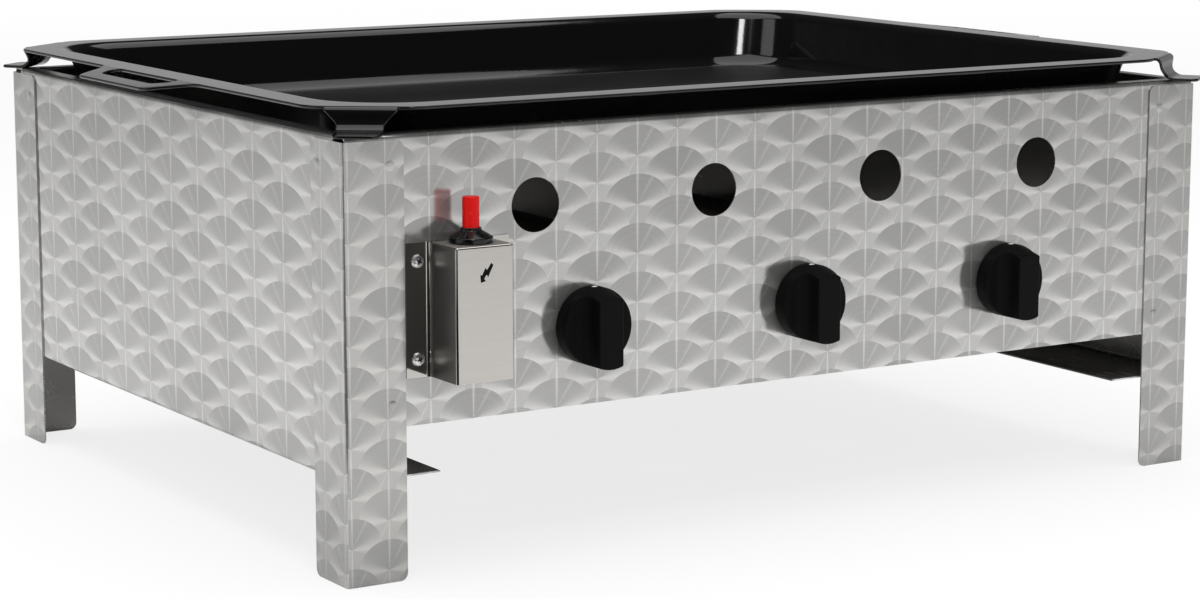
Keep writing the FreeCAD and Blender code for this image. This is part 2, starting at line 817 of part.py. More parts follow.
def valve_spring(x):
    inner = spindle_r + stop_gap
    outer = inner + tap_wire
    profile = [(inner, collar_back), (outer, collar_back), (outer, plug_face), (inner, plug_face)]
    return turned(profile, tap_axis(x, 0), back)


def gas_jet(x):
    thread_r = jet_seat_r - running_clearance
    thread_front = tap_body_rear - jet_thread_length
    hex_end = tap_body_rear + jet_hex_length
    tip_end = hex_end + jet_tip_length
    cone = [(0, hex_end), (jet_tip_r, hex_end), (jet_nose_r, tip_end), (0, tip_end)]
    tip = turned(cone, tap_axis(x, 0), back)
    thread = rod(thread_r, tap_axis(x, thread_front), tap_axis(x, tap_body_rear))
    body = joined([thread, hexagon(jet_hex_flats, jet_hex_length, tap_axis(x, tap_body_rear), back), tip])
    chamber = rod(gas_channel_r, tap_axis(x, thread_front - cut_overrun), tap_axis(x, hex_end))
    orifice = rod(jet_orifice_r, tap_axis(x, hex_end - cut_overrun), tap_axis(x, tip_end + cut_overrun))
    return body.cut(chamber).cut(orifice)


# Knob, measured outward from the front panel's outer face

def knob(x):
    """Round skirt with a grip bar across it, scooped out at both sides and sloped at its upper end."""
    skirt_top = knob_gap + knob_skirt
    outline = [(0, knob_gap), (knob_r - knob_edge, knob_gap), (knob_r, knob_gap + knob_edge),
               (knob_r, skirt_top - knob_edge), (knob_tip_r, knob_reach - knob_edge),
               (knob_tip_r - knob_edge, knob_reach), (0, knob_reach)]
    body = turned(outline, Vec(), up)
    far = 2 * knob_r
    scoop = block(Vec(knob_bar_width / 2, -far, skirt_top), Vec(far, far, far))
    inner_edge = [edge for edge in scoop.Edges
                  if edge.BoundBox.XMax < knob_bar_width and edge.BoundBox.ZMax < skirt_top + edge_tolerance]
    scoop = scoop.makeFillet(knob_scoop, inner_edge)
    body = body.cut(scoop).cut(mirrored_x(scoop))
    above = knob_reach + cut_overrun
    slope = [(knob_r, skirt_top), (far, skirt_top), (far, above), (knob_bar_top, above)]
    body = body.cut(extruded(rounded_wire(flat_points(slope), [0] * 4), far, Vec(-knob_r, 0, 0), back, up))
    bar_edges = [edge for edge in body.Edges
                 if edge.BoundBox.ZMin > knob_reach - edge_tolerance and edge.BoundBox.YLength > knob_bar_top]
    body = body.makeFillet(knob_edge, bar_edges)
    hub_front = neck_reach + tap_push + knob_nut_clearance
    hollow_end = knob_gap + knob_hollow
    hollow = rod(knob_r - knob_wall, Vec(), up * hollow_end)
    body = body.cut(hollow.cut(rod(knob_hub_r, up * hub_front, up * (hollow_end + cut_overrun))))
    bore = rod(spindle_r + running_clearance, Vec(), up * (spindle_in_knob + stop_gap))
    low = Vec(-spindle_r, spindle_flat + running_clearance, hub_front)
    bore = bore.cut(block(low, low + Vec(2 * spindle_r, spindle_r, knob_reach)))
    return placed(body.cut(bore), tap_axis(x, 0), front)


# Gas supply

def manifold_point(x):
    return Vec(x, manifold_y, manifold_z)


def manifold_ends():
    return tap_x["left"] - manifold_overrun, side_inner - manifold_inlet_gap


def square_wire(size, corner_r):
    half = size / 2
    points = flat_points([(-half, -half), (half, -half), (half, half), (-half, half)])
    return rounded_wire(points, [corner_r] * 4)


def gas_manifold():
    start, end = manifold_ends()
    tube = extruded(square_wire(manifold_size, manifold_corner), end - start, manifold_point(start), back, up)
    core_wire = square_wire(manifold_size - 2 * manifold_wall, manifold_corner - manifold_wall)
    core = extruded(core_wire, end - start, manifold_point(start), back, up)
    holes = []
    for x in tap_x.values():
        foot = Vec(x, manifold_y, manifold_top)
        holes.append(rod(spigot_r + hole_clearance, foot - up * 2 * manifold_wall, foot + up * cut_overrun))
    return tube.cut(core).cut(Part.makeCompound(holes))


def manifold_stopper(length, start, flange):
    """Square bung that fills a manifold end, with a flange against the tube."""
    fit = manifold_size - 2 * manifold_wall - 2 * running_clearance
    bung_wire = square_wire(fit, manifold_corner - manifold_wall)
    bung = extruded(bung_wire, length, manifold_point(start), back, up)
    plate_start = manifold_point(start - flange if flange > 0 else start + length)
    plate = extruded(square_wire(manifold_size, manifold_corner), abs(flange), plate_start, back, up)
    return joined([bung, plate])


def manifold_end_plug():
    return manifold_stopper(end_plug_length, manifold_ends()[0], end_plug_flange)


def gas_inlet_fitting():
    """Inlet union: square bung in the manifold, hexagon against the side panel, thread outside it."""
    end = manifold_ends()[1]
    bung = manifold_stopper(inlet_spigot_length, end - inlet_spigot_length, -end_plug_flange)
    hex_start = end + end_plug_flange
    body = hexagon(inlet_hex_flats, side_inner - hex_start, manifold_point(hex_start), right)
    tail = side_face + inlet_nut + inlet_thread_length
    neck_end = side_face + inlet_nut
    neck = rod(inlet_thread_r - inlet_relief, manifold_point(side_inner), manifold_point(neck_end))
    thread = rod(inlet_thread_r, manifold_point(neck_end), manifold_point(tail))
    bore_start = end - inlet_spigot_length - cut_overrun
    bore = rod(inlet_bore_r, manifold_point(bore_start), manifold_point(tail + cut_overrun))
    return joined([bung, body, neck, thread]).cut(bore)


def inlet_lock_nut():
    bore_r = inlet_thread_r - inlet_relief + running_clearance
    return nut(inlet_hex_flats, inlet_nut, bore_r, manifold_point(side_face), right)


# Burners

def burner_point(x, y):
    return Vec(x, y, tap_height)


def burner(x):
    """Straight tube burner: air mouth, venturi throat, ported tube and a flat fixing plate at the rear."""
    throat = burner_front + mouth_length + throat_run
    outer = [(mouth_r, burner_front), (mouth_r, burner_front + mouth_length), (throat_r, throat),
             (burner_r, burner_tube_front), (burner_r, burner_rear)]
    profile = outer + [(radius - burner_wall, y) for radius, y in outer[::-1]]
    tube = turned(profile, burner_point(x, 0), back)
    window = burner_point(x, burner_front + air_window_inset) - up * air_window_height / 2
    window_end = window + Vec(2 * mouth_r, air_window_length, air_window_height)
    cuts = [block(window - right * 2 * mouth_r, window_end)]
    first = front_rail_y + rail_sheet + port_margin
    count = int((burner_rear - port_margin - first) / port_pitch) + 1
    for index in range(count):
        for side in (-1, 1):
            seat = burner_point(x, first + index * port_pitch)
            turn = math.radians(port_angle) * side
            outward = Vec(math.sin(turn), 0, math.cos(turn))
            cuts.append(rod(port_r, seat, seat + outward * (burner_r + cut_overrun)))
    tube = tube.cut(Part.makeCompound(cuts))
    low = Vec(x - end_plate_half, burner_rear, tap_height - end_plate_drop)
    plate = block(low, Vec(x + end_plate_half, burner_rear + end_plate, tap_height + end_plate_rise))
    hole = burner_point(x, burner_rear) - up * burner_screw_drop
    overrun = back * cut_overrun
    plate = plate.cut(rod(screw_r + hole_clearance, hole - overrun, hole + back * end_plate + overrun))
    return joined([tube, plate])


def rail(y, top):
    """Folded cross rail with a lower flange and two end tabs that lie against the side panels."""
    bottom = top - rail_height
    web = block(Vec(-side_inner, y, bottom), Vec(side_inner, y + rail_sheet, top))
    flange = block(Vec(-side_inner, y, bottom), Vec(side_inner, y + rail_flange, bottom + rail_sheet))
    tabs = []
    for side in (-1, 1):
        low = Vec(min(side * side_inner, side * (side_inner - rail_sheet)), y + rail_sheet - rail_tab, bottom)
        tabs.append(block(low, low + Vec(rail_sheet, rail_tab, rail_height)))
    return joined([web, flange] + tabs)


def rail_hole(radius, seat):
    overrun = back * cut_overrun
    return rod(radius, seat - overrun, seat + back * rail_sheet + overrun)


def front_burner_rail():
    """Rail with a saddle under each burner and an upright tab that holds the electrode."""
    web = rail(front_rail_y, tap_height)
    half = Vec(electrode_tab_half, 0, 0)
    foot = Vec(electrode_x, front_rail_y, tap_height - rail_height / 2)
    head = Vec(electrode_x, front_rail_y + rail_sheet, electrode_z + electrode_tab_rise)
    web = joined([web, block(foot - half, head + half)])
    holes = [rail_hole(burner_r + saddle_clearance, burner_point(x, front_rail_y)) for x in tap_x.values()]
    holes.append(rail_hole(insulator_r + hole_clearance, Vec(electrode_x, front_rail_y, electrode_z)))
    return web.cut(Part.makeCompound(holes))


def rear_burner_rail():
    web = rail(burner_rear + end_plate, tap_height - rear_rail_top_drop)
    holes = [rail_hole(screw_r + hole_clearance, burner_fixing(x, end_plate)) for x in tap_x.values()]
    return web.cut(Part.makeCompound(holes))


def burner_fixing(x, along):
    return burner_point(x, burner_rear + along) - up * burner_screw_drop


# The whole grill

def grill():
    """Every node by name, around the middle of the body at floor level."""
    leg = front_left_leg()
    nodes = {
        "front_panel": front_panel(),
        "rear_panel": mirrored_y(end_panel()),
        "left_side_panel": left_side_panel(),
        "right_side_panel": right_side_panel(),
        "leg_front_left": leg,
        "leg_front_right": mirrored_x(leg),
        "leg_rear_left": mirrored_y(leg),
        "leg_rear_right": mirrored_x(mirrored_y(leg)),
        "panel_rivets": Part.makeCompound([rivet(place, outward) for place, outward in all_rivet_places()]),
        "griddle_pan": griddle_pan(),
        "front_burner_rail": front_burner_rail(),
        "rear_burner_rail": rear_burner_rail(),
        "gas_manifold": gas_manifold(),
        "manifold_end_plug": manifold_end_plug(),
        "gas_inlet_fitting": gas_inlet_fitting(),
        "inlet_lock_nut": inlet_lock_nut(),
        "igniter_box": igniter_box(),
        "igniter_body": igniter_body(),
        "igniter_collar": igniter_collar(),
        "igniter_button": igniter_button(),
        "igniter_spring": igniter_spring(),
        "piezo_element": piezo_element(),
        "ignition_lead": ignition_lead(),
        "electrode_insulator": electrode_insulator(),
        "electrode_rod": electrode_rod(),
    }
    makers = {"burner": burner, "valve_body": valve_body, "valve_cap": valve_cap, "valve_plug": valve_plug,
              "valve_stem": valve_stem, "valve_spring": valve_spring, "gas_jet": gas_jet, "knob": knob}
    for name, maker in makers.items():
        for place, x in tap_x.items():
            nodes[name + "_" + place] = maker(x)
    tap_seats = [tap_axis(x, 0) for x in tap_x.values()]
    nodes["valve_panel_nuts"] = Part.makeCompound(
        [nut(panel_nut_flats, panel_nut, neck_r + running_clearance, seat, front) for seat in tap_seats])
    nut_bore_r = screw_r + running_clearance
    burner_grip = end_plate + rail_sheet + nut_height + thread_tail
    nodes["burner_screws"] = Part.makeCompound(
        [screw(burner_grip, burner_fixing(x, 0), front) for x in tap_x.values()])
    nodes["burner_nuts"] = Part.makeCompound(
        [nut(nut_flats, nut_height, nut_bore_r, burner_fixing(x, end_plate + rail_sheet), back)
         for x in tap_x.values()])
    box_grip = 2 * sheet + nut_height + thread_tail
    nodes["igniter_box_screws"] = Part.makeCompound(
        [screw(box_grip, place + front * sheet, front) for place in igniter_screw_places()])
    nodes["igniter_box_nuts"] = Part.makeCompound(
        [nut(nut_flats, nut_height, nut_bore_r, place + back * sheet, back)
         for place in igniter_screw_places()])
    return nodes


def write_parts(nodes):
    """Write each node with the origin under the middle of the whole part, at floor level."""
    whole = FreeCAD.BoundBox()
    for shape in nodes.values():
        whole.add(shape.optimalBoundingBox())
    shift = Vec(-whole.Center.x, -whole.Center.y, -whole.ZMin)
    print("shift", shift, "size", whole.XLength, whole.YLength, whole.ZLength)
    os.makedirs("parts", exist_ok=True)
    for name, shape in nodes.items():
        shape.translate(shift)
        shape.exportStep("parts/" + name + ".step")


write_parts(grill())
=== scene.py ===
import math

import bmesh
import bpy
from mathutils import Matrix, Vector


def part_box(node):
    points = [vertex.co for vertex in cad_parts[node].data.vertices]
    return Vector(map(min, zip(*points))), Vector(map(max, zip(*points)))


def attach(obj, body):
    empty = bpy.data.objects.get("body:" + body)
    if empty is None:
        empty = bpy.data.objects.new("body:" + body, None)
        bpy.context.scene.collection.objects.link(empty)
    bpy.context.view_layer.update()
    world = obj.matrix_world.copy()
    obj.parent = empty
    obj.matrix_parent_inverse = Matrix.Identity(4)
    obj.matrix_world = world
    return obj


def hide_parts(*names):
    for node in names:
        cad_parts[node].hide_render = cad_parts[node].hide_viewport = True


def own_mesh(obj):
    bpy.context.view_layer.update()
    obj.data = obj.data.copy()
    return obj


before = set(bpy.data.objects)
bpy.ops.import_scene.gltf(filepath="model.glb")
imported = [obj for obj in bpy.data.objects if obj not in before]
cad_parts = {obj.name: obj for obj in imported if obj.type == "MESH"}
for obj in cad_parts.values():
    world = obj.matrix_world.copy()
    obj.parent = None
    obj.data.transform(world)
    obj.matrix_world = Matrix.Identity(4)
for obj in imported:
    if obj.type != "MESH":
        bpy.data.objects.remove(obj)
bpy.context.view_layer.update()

# places read from the frame, in metres
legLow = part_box("leg_front_left")[0]
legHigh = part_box("leg_rear_right")[1]
bodyMiddle = (legLow + legHigh) / 2
bodyMiddle.z = 0
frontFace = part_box("front_panel")[0].y
tapNames = ("left", "centre", "right")
xAxis, yAxis, zAxis = Vector((1, 0, 0)), Vector((0, 1, 0)), Vector((0, 0, 1))


def middleOf(node):
    low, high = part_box(node)
    return (low + high) / 2


# node helpers; colours are written as red, green and blue

def connect(tree, value, socket):
    if isinstance(value, bpy.types.NodeSocket):
        tree.links.new(value, socket)
    elif socket.type == "RGBA":
        socket.default_value = (*value, 1)
    else:
        socket.default_value = value


def addNode(tree, kind, inputs=None, **settings):
    node = tree.nodes.new("ShaderNode" + kind)
    for key, value in settings.items():
        setattr(node, key, value)
    for name, value in (inputs or {}).items():
        connect(tree, value, node.inputs[name])
    return node


def calc(tree, operation, *terms):
    node = addNode(tree, "Math", operation=operation)
    for term, socket in zip(terms, node.inputs):
        connect(tree, term, socket)
    return node.outputs[0]


def times(tree, first, second):
    return calc(tree, "MULTIPLY", first, second)


def minus(tree, first, second):
    return calc(tree, "SUBTRACT", first, second)


def timesPlus(tree, value, factor, base):
    return calc(tree, "MULTIPLY_ADD", value, factor, base)


def above(tree, value, limit):
    return calc(tree, "GREATER_THAN", value, limit)


def below(tree, value, limit):
    return calc(tree, "LESS_THAN", value, limit)


def remap(tree, value, low, high, start=0.0, end=1.0, curve="LINEAR"):
    inputs = {"Value": value, "From Min": start, "From Max": end, "To Min": low, "To Max": high}
    return addNode(tree, "MapRange", inputs, interpolation_type=curve).outputs["Result"]


def blendColours(tree, factor, first, second):
    node = addNode(tree, "Mix", data_type="RGBA")
    for value, index in ((factor, 0), (first, 6), (second, 7)):
        connect(tree, value, node.inputs[index])
    return node.outputs[2]


def axes(tree, vector):
    return addNode(tree, "SeparateXYZ", {"Vector": vector}).outputs


def noise(tree, vector, scale, detail=2.0, roughness=0.5):
    inputs = {"Vector": vector, "Scale": scale, "Detail": detail, "Roughness": roughness}
    return addNode(tree, "TexNoise", inputs).outputs["Fac"]


def newGroup(name, inputs, outputs):
    group = bpy.data.node_groups.new(name, "ShaderNodeTree")
    for socketName, kind in inputs:
        group.interface.new_socket(socketName, in_out="INPUT", socket_type="NodeSocket" + kind)
    for socketName in outputs:
        group.interface.new_socket(socketName, in_out="OUTPUT", socket_type="NodeSocketFloat")
    return group, group.nodes.new("NodeGroupInput").outputs, group.nodes.new("NodeGroupOutput").inputs


def placeGroup(tree, group, inputs):
    return addNode(tree, "Group", inputs, node_tree=group).outputs


def newMaterial(name, **constants):
    material = bpy.data.materials.new(name)
    material.use_nodes = True
    tree = material.node_tree
    shader = tree.nodes["Principled BSDF"]
    for socketName, value in constants.items():
        shader.inputs[socketName.replace("_", " ")].default_value = value
    coords = addNode(tree, "TexCoord").outputs
    return material, tree, shader.inputs, coords


def addColour(tree, sockets, factor, first, second):
    connect(tree, blendColours(tree, factor, first, second), sockets["Base Color"])


def addBump(tree, sockets, height, distance, strength=1.0):
    bump = addNode(tree, "Bump", {"Height": height, "Distance": distance, "Strength": strength})
    tree.links.new(bump.outputs["Normal"], sockets["Normal"])


# shared surface effects

brushing = {"detail": 4.0, "rough": 0.65, "streakShare": 0.13, "streakDetail": 3.0}
handling = {"detail": 5.0, "rough": 0.6, "smudgeLow": 0.38, "smudgeHigh": 0.68, "specks": 9.0,
            "speckSize": 0.07}
# painted highlights: each disc's fans and its brighter lower half stand in for the lamps' reflections in its
# rings
disc = {"wedge": (0, 0.40, 0.0), "line": (90, 0.026, 0.010), "lean": (62, 0.045, 0.004), "hub": 0.08,
        "falloff": 0.37, "lowerHalfPaintedSheen": 0.42, "wedgeShine": 0.44, "lineShine": 0.34, "leanShine": 0.14,
        "base": 0.06, "chanceShine": 0.12, "ringShine": 0.10, "rings": 9.0, "ringDetail": 4.0,
        "ringRough": 0.7, "ringShift": 40.0, "missed": 1000.0}  # each painted highlight fan has an angle, a width and a narrowing


def makeGrainGroup():
    inputs = [("Vector", "Vector"), ("Fineness", "Float")]
    group, given, made = newGroup("brushedGrain", inputs, ["Grain", "Streak"])
    fine = noise(group, given["Vector"], given["Fineness"], brushing["detail"], brushing["rough"])
    wideScale = times(group, given["Fineness"], brushing["streakShare"])
    connect(group, fine, made["Grain"])
    connect(group, noise(group, given["Vector"], wideScale, brushing["streakDetail"]), made["Streak"])
    return group


def makeHandlingGroup():
    inputs = [("Vector", "Vector"), ("Size", "Float")]
    group, given, made = newGroup("handlingMarks", inputs, ["Smudge", "Dust"])
    scale = calc(group, "DIVIDE", 1.0, given["Size"])
    cloud = noise(group, given["Vector"], scale, handling["detail"], handling["rough"])
    smudge = remap(group, cloud, 0.0, 1.0, handling["smudgeLow"], handling["smudgeHigh"])
    inputs = {"Vector": given["Vector"], "Scale": times(group, scale, handling["specks"])}
    speck = addNode(group, "TexVoronoi", inputs).outputs["Distance"]
    connect(group, smudge, made["Smudge"])
    connect(group, below(group, speck, handling["speckSize"]), made["Dust"])
    return group


def makeDiscGroup():
    inputs = [(name, "Float") for name in ("Across", "Up", "Pitch", "Period", "Radius")]
    group, given, made = newGroup("turnedDiscsPaintedSheen", inputs, ["Shine", "Rings"])
    pitch, period, radius = given["Pitch"], given["Period"], given["Radius"]
    column = calc(group, "FLOOR", calc(group, "DIVIDE", given["Across"], pitch))
    choices = []
    for side in (0.0, 1.0):  # the disc column at the left and the one at the right
        index = calc(group, "ADD", column, side)
        offset = minus(group, given["Across"], times(group, index, pitch))
        stagger = times(group, calc(group, "FLOORED_MODULO", index, 2.0), 0.5)
        squared = minus(group, calc(group, "POWER", radius, 2.0), times(group, offset, offset))
        half = calc(group, "SQRT", calc(group, "MAXIMUM", squared, 0.0))
        lowest = calc(group, "DIVIDE", minus(group, given["Up"], half), period)
        row = calc(group, "ADD", calc(group, "CEIL", minus(group, lowest, stagger)), stagger)
        centre = times(group, row, period)
        missed = above(group, minus(group, centre, given["Up"]), half)
        order = timesPlus(group, missed, disc["missed"], row)
        choices.append((offset, minus(group, given["Up"], centre), order, index, row))
    later = below(group, choices[1][2], choices[0][2])  # the lower disc was turned last
    picked = []
    for first, second in zip(*choices):
        picked.append(timesPlus(group, minus(group, second, first), later, first))
    across, up, _, index, row = picked
    squared = calc(group, "ADD", times(group, across, across), times(group, up, up))
    reach = calc(group, "DIVIDE", calc(group, "SQRT", squared), radius)
    turn = calc(group, "ARCTAN2", up, across)

    # a painted highlight: a fan of brighter colour across the disc
    def paintedHighlightRay(angle, width, narrowing):
        sideways = calc(group, "SINE", minus(group, turn, math.radians(angle)))
        flare = calc(group, "DIVIDE", 1.0, calc(group, "MAXIMUM", reach, disc["hub"]))
        spread = timesPlus(group, flare, narrowing, width)
        share = calc(group, "DIVIDE", calc(group, "ABSOLUTE", sideways), spread)
        return calc(group, "POWER", disc["falloff"], times(group, share, share))

    spot = addNode(group, "CombineXYZ", {"X": index, "Y": row}).outputs[0]
    chance = addNode(group, "TexWhiteNoise", {"Vector": spot}, noise_dimensions="2D").outputs["Value"]
    depth = timesPlus(group, chance, disc["ringShift"], times(group, reach, disc["rings"]))
    inputs = {"W": depth, "Scale": 1.0, "Detail": disc["ringDetail"], "Roughness": disc["ringRough"]}
    rings = addNode(group, "TexNoise", inputs, noise_dimensions="1D").outputs["Fac"]
    # painted sheen: the lower half of each disc is made brighter
    lower = times(group, below(group, up, 0.0), disc["lowerHalfPaintedSheen"])
    wedge = calc(group, "MAXIMUM", paintedHighlightRay(*disc["wedge"]), lower)
    shine = timesPlus(group, wedge, disc["wedgeShine"], disc["base"])
    for mark in ("line", "lean"):
        shine = timesPlus(group, paintedHighlightRay(*disc[mark]), disc[mark + "Shine"], shine)
    # the per-disc chance and the ring noise are the steel's own tone
    for mark, strength in ((chance, disc["chanceShine"]), (rings, disc["ringShine"])):
        shine = timesPlus(group, minus(group, mark, 0.5), strength, shine)
    # Shine carries the painted highlights together with each disc's own tone and rings
    connect(group, shine, made["Shine"])
    connect(group, rings, made["Rings"])
    return group


grainGroup = makeGrainGroup()
handlingGroup = makeHandlingGroup()
discGroup = makeDiscGroup()
print("surface effects ready")


def grainOn(tree, coords, look):
    inputs = {"Vector": coords["Object"], "Scale": look["stretch"]}
    vector = addNode(tree, "Mapping", inputs).outputs["Vector"]
    return placeGroup(tree, grainGroup, {"Vector": vector, "Fineness": look["fineness"]})


def marksOn(tree, coords, size):
    return placeGroup(tree, handlingGroup, {"Vector": coords["Object"], "Size": size})


# materials

turnedSteel = {"period": 0.0300, "radius": 0.0186, "spread": 0.82, "dark": (0.33, 0.328, 0.320),
               "facing": 0.5, "stretch": (1, 1, 30), "fineness": 60.0, "markSize": 0.12, "shade": 0.8,
               "rough": 0.08, "ringRough": 0.06, "insideRough": 0.12, "smudgeRough": 0.05,
               "smudgeShine": -0.04, "ringDepth": 0.00002}
# the panels' inside tone is dark as painted shade inside the body
panelDiscs = {"endPitch": 0.0288, "sidePitch": 0.0400, "endStart": -0.0088, "sideStart": -0.0130,
              "firstRow": 0.0020, "bright": (0.90, 0.89, 0.87), "inside": (0.24, 0.235, 0.225)}
# the legs are the panels' steel in a darker copy as painted shade, with a lighter inside than the panels'
# painted-shade inside
legDiscs = {"endPitch": 0.0246, "sidePitch": 0.0250, "endStart": -0.0020, "sideStart": 0.0,
            "firstRow": 0.0080, "bright": (0.78, 0.77, 0.745), "inside": (0.50, 0.49, 0.47)}


def engineTurnedSteelPaintedSheen(name, kind):
    look = turnedSteel
    pitch = look["radius"] / look["spread"]
    material, tree, sockets, coords = newMaterial(name, Metallic=0.72)
    place, normal = axes(tree, coords["Object"]), axes(tree, coords["Normal"])
    facesSide = above(tree, calc(tree, "ABSOLUTE", normal["X"]), look["facing"])
    facesEnd = above(tree, calc(tree, "ABSOLUTE", normal["Y"]), look["facing"])
    depth = minus(tree, place["Y"], bodyMiddle.y)
    endDiscs = times(tree, minus(tree, place["X"], kind["endStart"]), pitch / kind["endPitch"])
    sideDiscs = times(tree, minus(tree, depth, kind["sideStart"]), pitch / kind["sidePitch"])
    across = timesPlus(tree, facesSide, minus(tree, sideDiscs, endDiscs), endDiscs)
    up = minus(tree, place["Z"], kind["firstRow"])
    discs = placeGroup(tree, discGroup, {"Across": across, "Up": up, "Pitch": pitch,
                                         "Period": look["period"], "Radius": look["radius"]})
    sideOut = times(tree, facesSide, above(tree, times(tree, place["X"], normal["X"]), 0.0))
    endOut = times(tree, facesEnd, above(tree, times(tree, depth, normal["Y"]), 0.0))
    outside = calc(tree, "ADD", sideOut, endOut)
    grain = grainOn(tree, coords, look)
    marks = marksOn(tree, coords, look["markSize"])
    shine = timesPlus(tree, marks["Smudge"], look["smudgeShine"], discs["Shine"])
    # the outer face runs from dark to bright with the discs' painted highlights, its own disc tone and its rings
    turnedFacePaintedSheen = blendColours(tree, shine, look["dark"], kind["bright"])
    # the inside colour is the plain steel's grain over a tone that is painted shade and light
    shaded = tuple(look["shade"] * part for part in kind["inside"])
    rolledWithPaintedShade = blendColours(tree, grain["Grain"], shaded, kind["inside"])
    addColour(tree, sockets, outside, rolledWithPaintedShade, turnedFacePaintedSheen)
    rough = timesPlus(tree, discs["Rings"], look["ringRough"], look["rough"])
    rough = timesPlus(tree, minus(tree, 1.0, outside), look["insideRough"], rough)
    connect(tree, timesPlus(tree, marks["Smudge"], look["smudgeRough"], rough), sockets["Roughness"])
    addBump(tree, sockets, times(tree, outside, discs["Rings"]), look["ringDepth"])
    return material


boxBrush = {"stretch": (1, 1, 30), "fineness": 90.0, "rough": 0.05, "dark": (0.41, 0.394, 0.372),
            "bright": (0.53, 0.510, 0.482), "spread": 0.03, "lidRough": 0.46, "wallRough": 0.23}
railBrush = {"stretch": (2, 2, 25), "fineness": 90.0, "rough": 0.26, "dark": (0.36, 0.355, 0.345),
             "bright": (0.56, 0.55, 0.535), "spread": 0.08, "lidRough": 0.0, "wallRough": 0.0}
brushMarks = {"markSize": 0.06, "grainShine": 0.7, "streakShine": 0.3, "facing": 0.9, "depth": 0.0000012,
              "bump": 0.5}


def brushedSteel(name, kind):
    look = brushMarks
    material, tree, sockets, coords = newMaterial(name, Metallic=1.0)
    grain = grainOn(tree, coords, kind)
    marks = marksOn(tree, coords, look["markSize"])
    streaks = times(tree, grain["Streak"], look["streakShine"])
    shine = timesPlus(tree, grain["Grain"], look["grainShine"], streaks)
    addColour(tree, sockets, shine, kind["dark"], kind["bright"])
    normal = axes(tree, coords["Normal"])
    facesUp = above(tree, normal["Z"], look["facing"])
    facesSide = above(tree, calc(tree, "ABSOLUTE", normal["X"]), look["facing"])
    rough = timesPlus(tree, grain["Grain"], kind["spread"], kind["rough"])
    rough = timesPlus(tree, facesUp, kind["lidRough"], rough)
    rough = timesPlus(tree, facesSide, kind["wallRough"], rough)
    connect(tree, timesPlus(tree, marks["Smudge"], kind["spread"] / 2, rough), sockets["Roughness"])
    addBump(tree, sockets, grain["Grain"], look["depth"], look["bump"])
    return material


def burnerSteel():
    look = {"steel": (0.46, 0.45, 0.43), "straw": (0.44, 0.33, 0.18), "blue": (0.20, 0.22, 0.30),
            "strawFrom": -0.028, "strawTo": 0.006, "blueFrom": -0.010, "blueTo": 0.008, "waver": 0.008,
            "cloud": 22.0, "cloudDetail": 4.0, "roughLow": 0.26, "roughHigh": 0.44}
    material, tree, sockets, coords = newMaterial("heatTintedSteel", Metallic=1.0)
    cloud = noise(tree, coords["Object"], look["cloud"], look["cloudDetail"])
    height = timesPlus(tree, cloud, look["waver"], axes(tree, coords["Object"])["Z"])
    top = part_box("burner_left")[1].z
    heat = remap(tree, height, 0.0, 1.0, top + look["strawFrom"], top + look["strawTo"])
    hottest = remap(tree, height, 0.0, 1.0, top + look["blueFrom"], top + look["blueTo"])
    strawed = blendColours(tree, heat, look["steel"], look["straw"])
    addColour(tree, sockets, hottest, strawed, look["blue"])
    connect(tree, remap(tree, cloud, look["roughLow"], look["roughHigh"]), sockets["Roughness"])
    return material


def blackEnamel():
    look = {"black": (0.0035, 0.0035, 0.0037), "dust": (0.020, 0.020, 0.020), "dustShare": 0.5,
            "markSize": 0.05, "roughLow": 0.07, "roughHigh": 0.12, "facing": 0.9, "satin": 0.27,
            "satinDepth": 0.03, "peel": 130.0, "ripple": 25.0, "rippleShare": 2.0, "depth": 0.00005, "bump": 0.6}
    material, tree, sockets, coords = newMaterial("blackEnamel", Specular_IOR_Level=0.45)
    marks = marksOn(tree, coords, look["markSize"])
    addColour(tree, sockets, times(tree, marks["Dust"], look["dustShare"]), look["black"], look["dust"])
    level = above(tree, axes(tree, coords["Normal"])["Z"], look["facing"])
    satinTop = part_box("griddle_pan")[1].z - look["satinDepth"]
    floor = times(tree, level, below(tree, axes(tree, coords["Object"])["Z"], satinTop))
    rough = remap(tree, marks["Smudge"], look["roughLow"], look["roughHigh"])
    connect(tree, timesPlus(tree, floor, look["satin"], rough), sockets["Roughness"])
    ripple = times(tree, noise(tree, coords["Object"], look["ripple"]), look["rippleShare"])
    peel = calc(tree, "ADD", noise(tree, coords["Object"], look["peel"]), ripple)
    addBump(tree, sockets, peel, look["depth"], look["bump"])
    return material


plastic = {"markSize": 0.018, "wear": 0.5, "smudgeRough": 0.08, "grain": 2200.0, "depth": 0.00001,
           "bump": 0.4}


def mouldedPlastic(name, colour, worn, roughness, level):
    look = plastic
    material, tree, sockets, coords = newMaterial(name, Specular_IOR_Level=level)
    marks = marksOn(tree, coords, look["markSize"])
    addColour(tree, sockets, times(tree, marks["Smudge"], look["wear"]), colour, worn)
    connect(tree, timesPlus(tree, marks["Smudge"], look["smudgeRough"], roughness), sockets["Roughness"])
    addBump(tree, sockets, noise(tree, coords["Object"], look["grain"]), look["depth"], look["bump"])
    return material


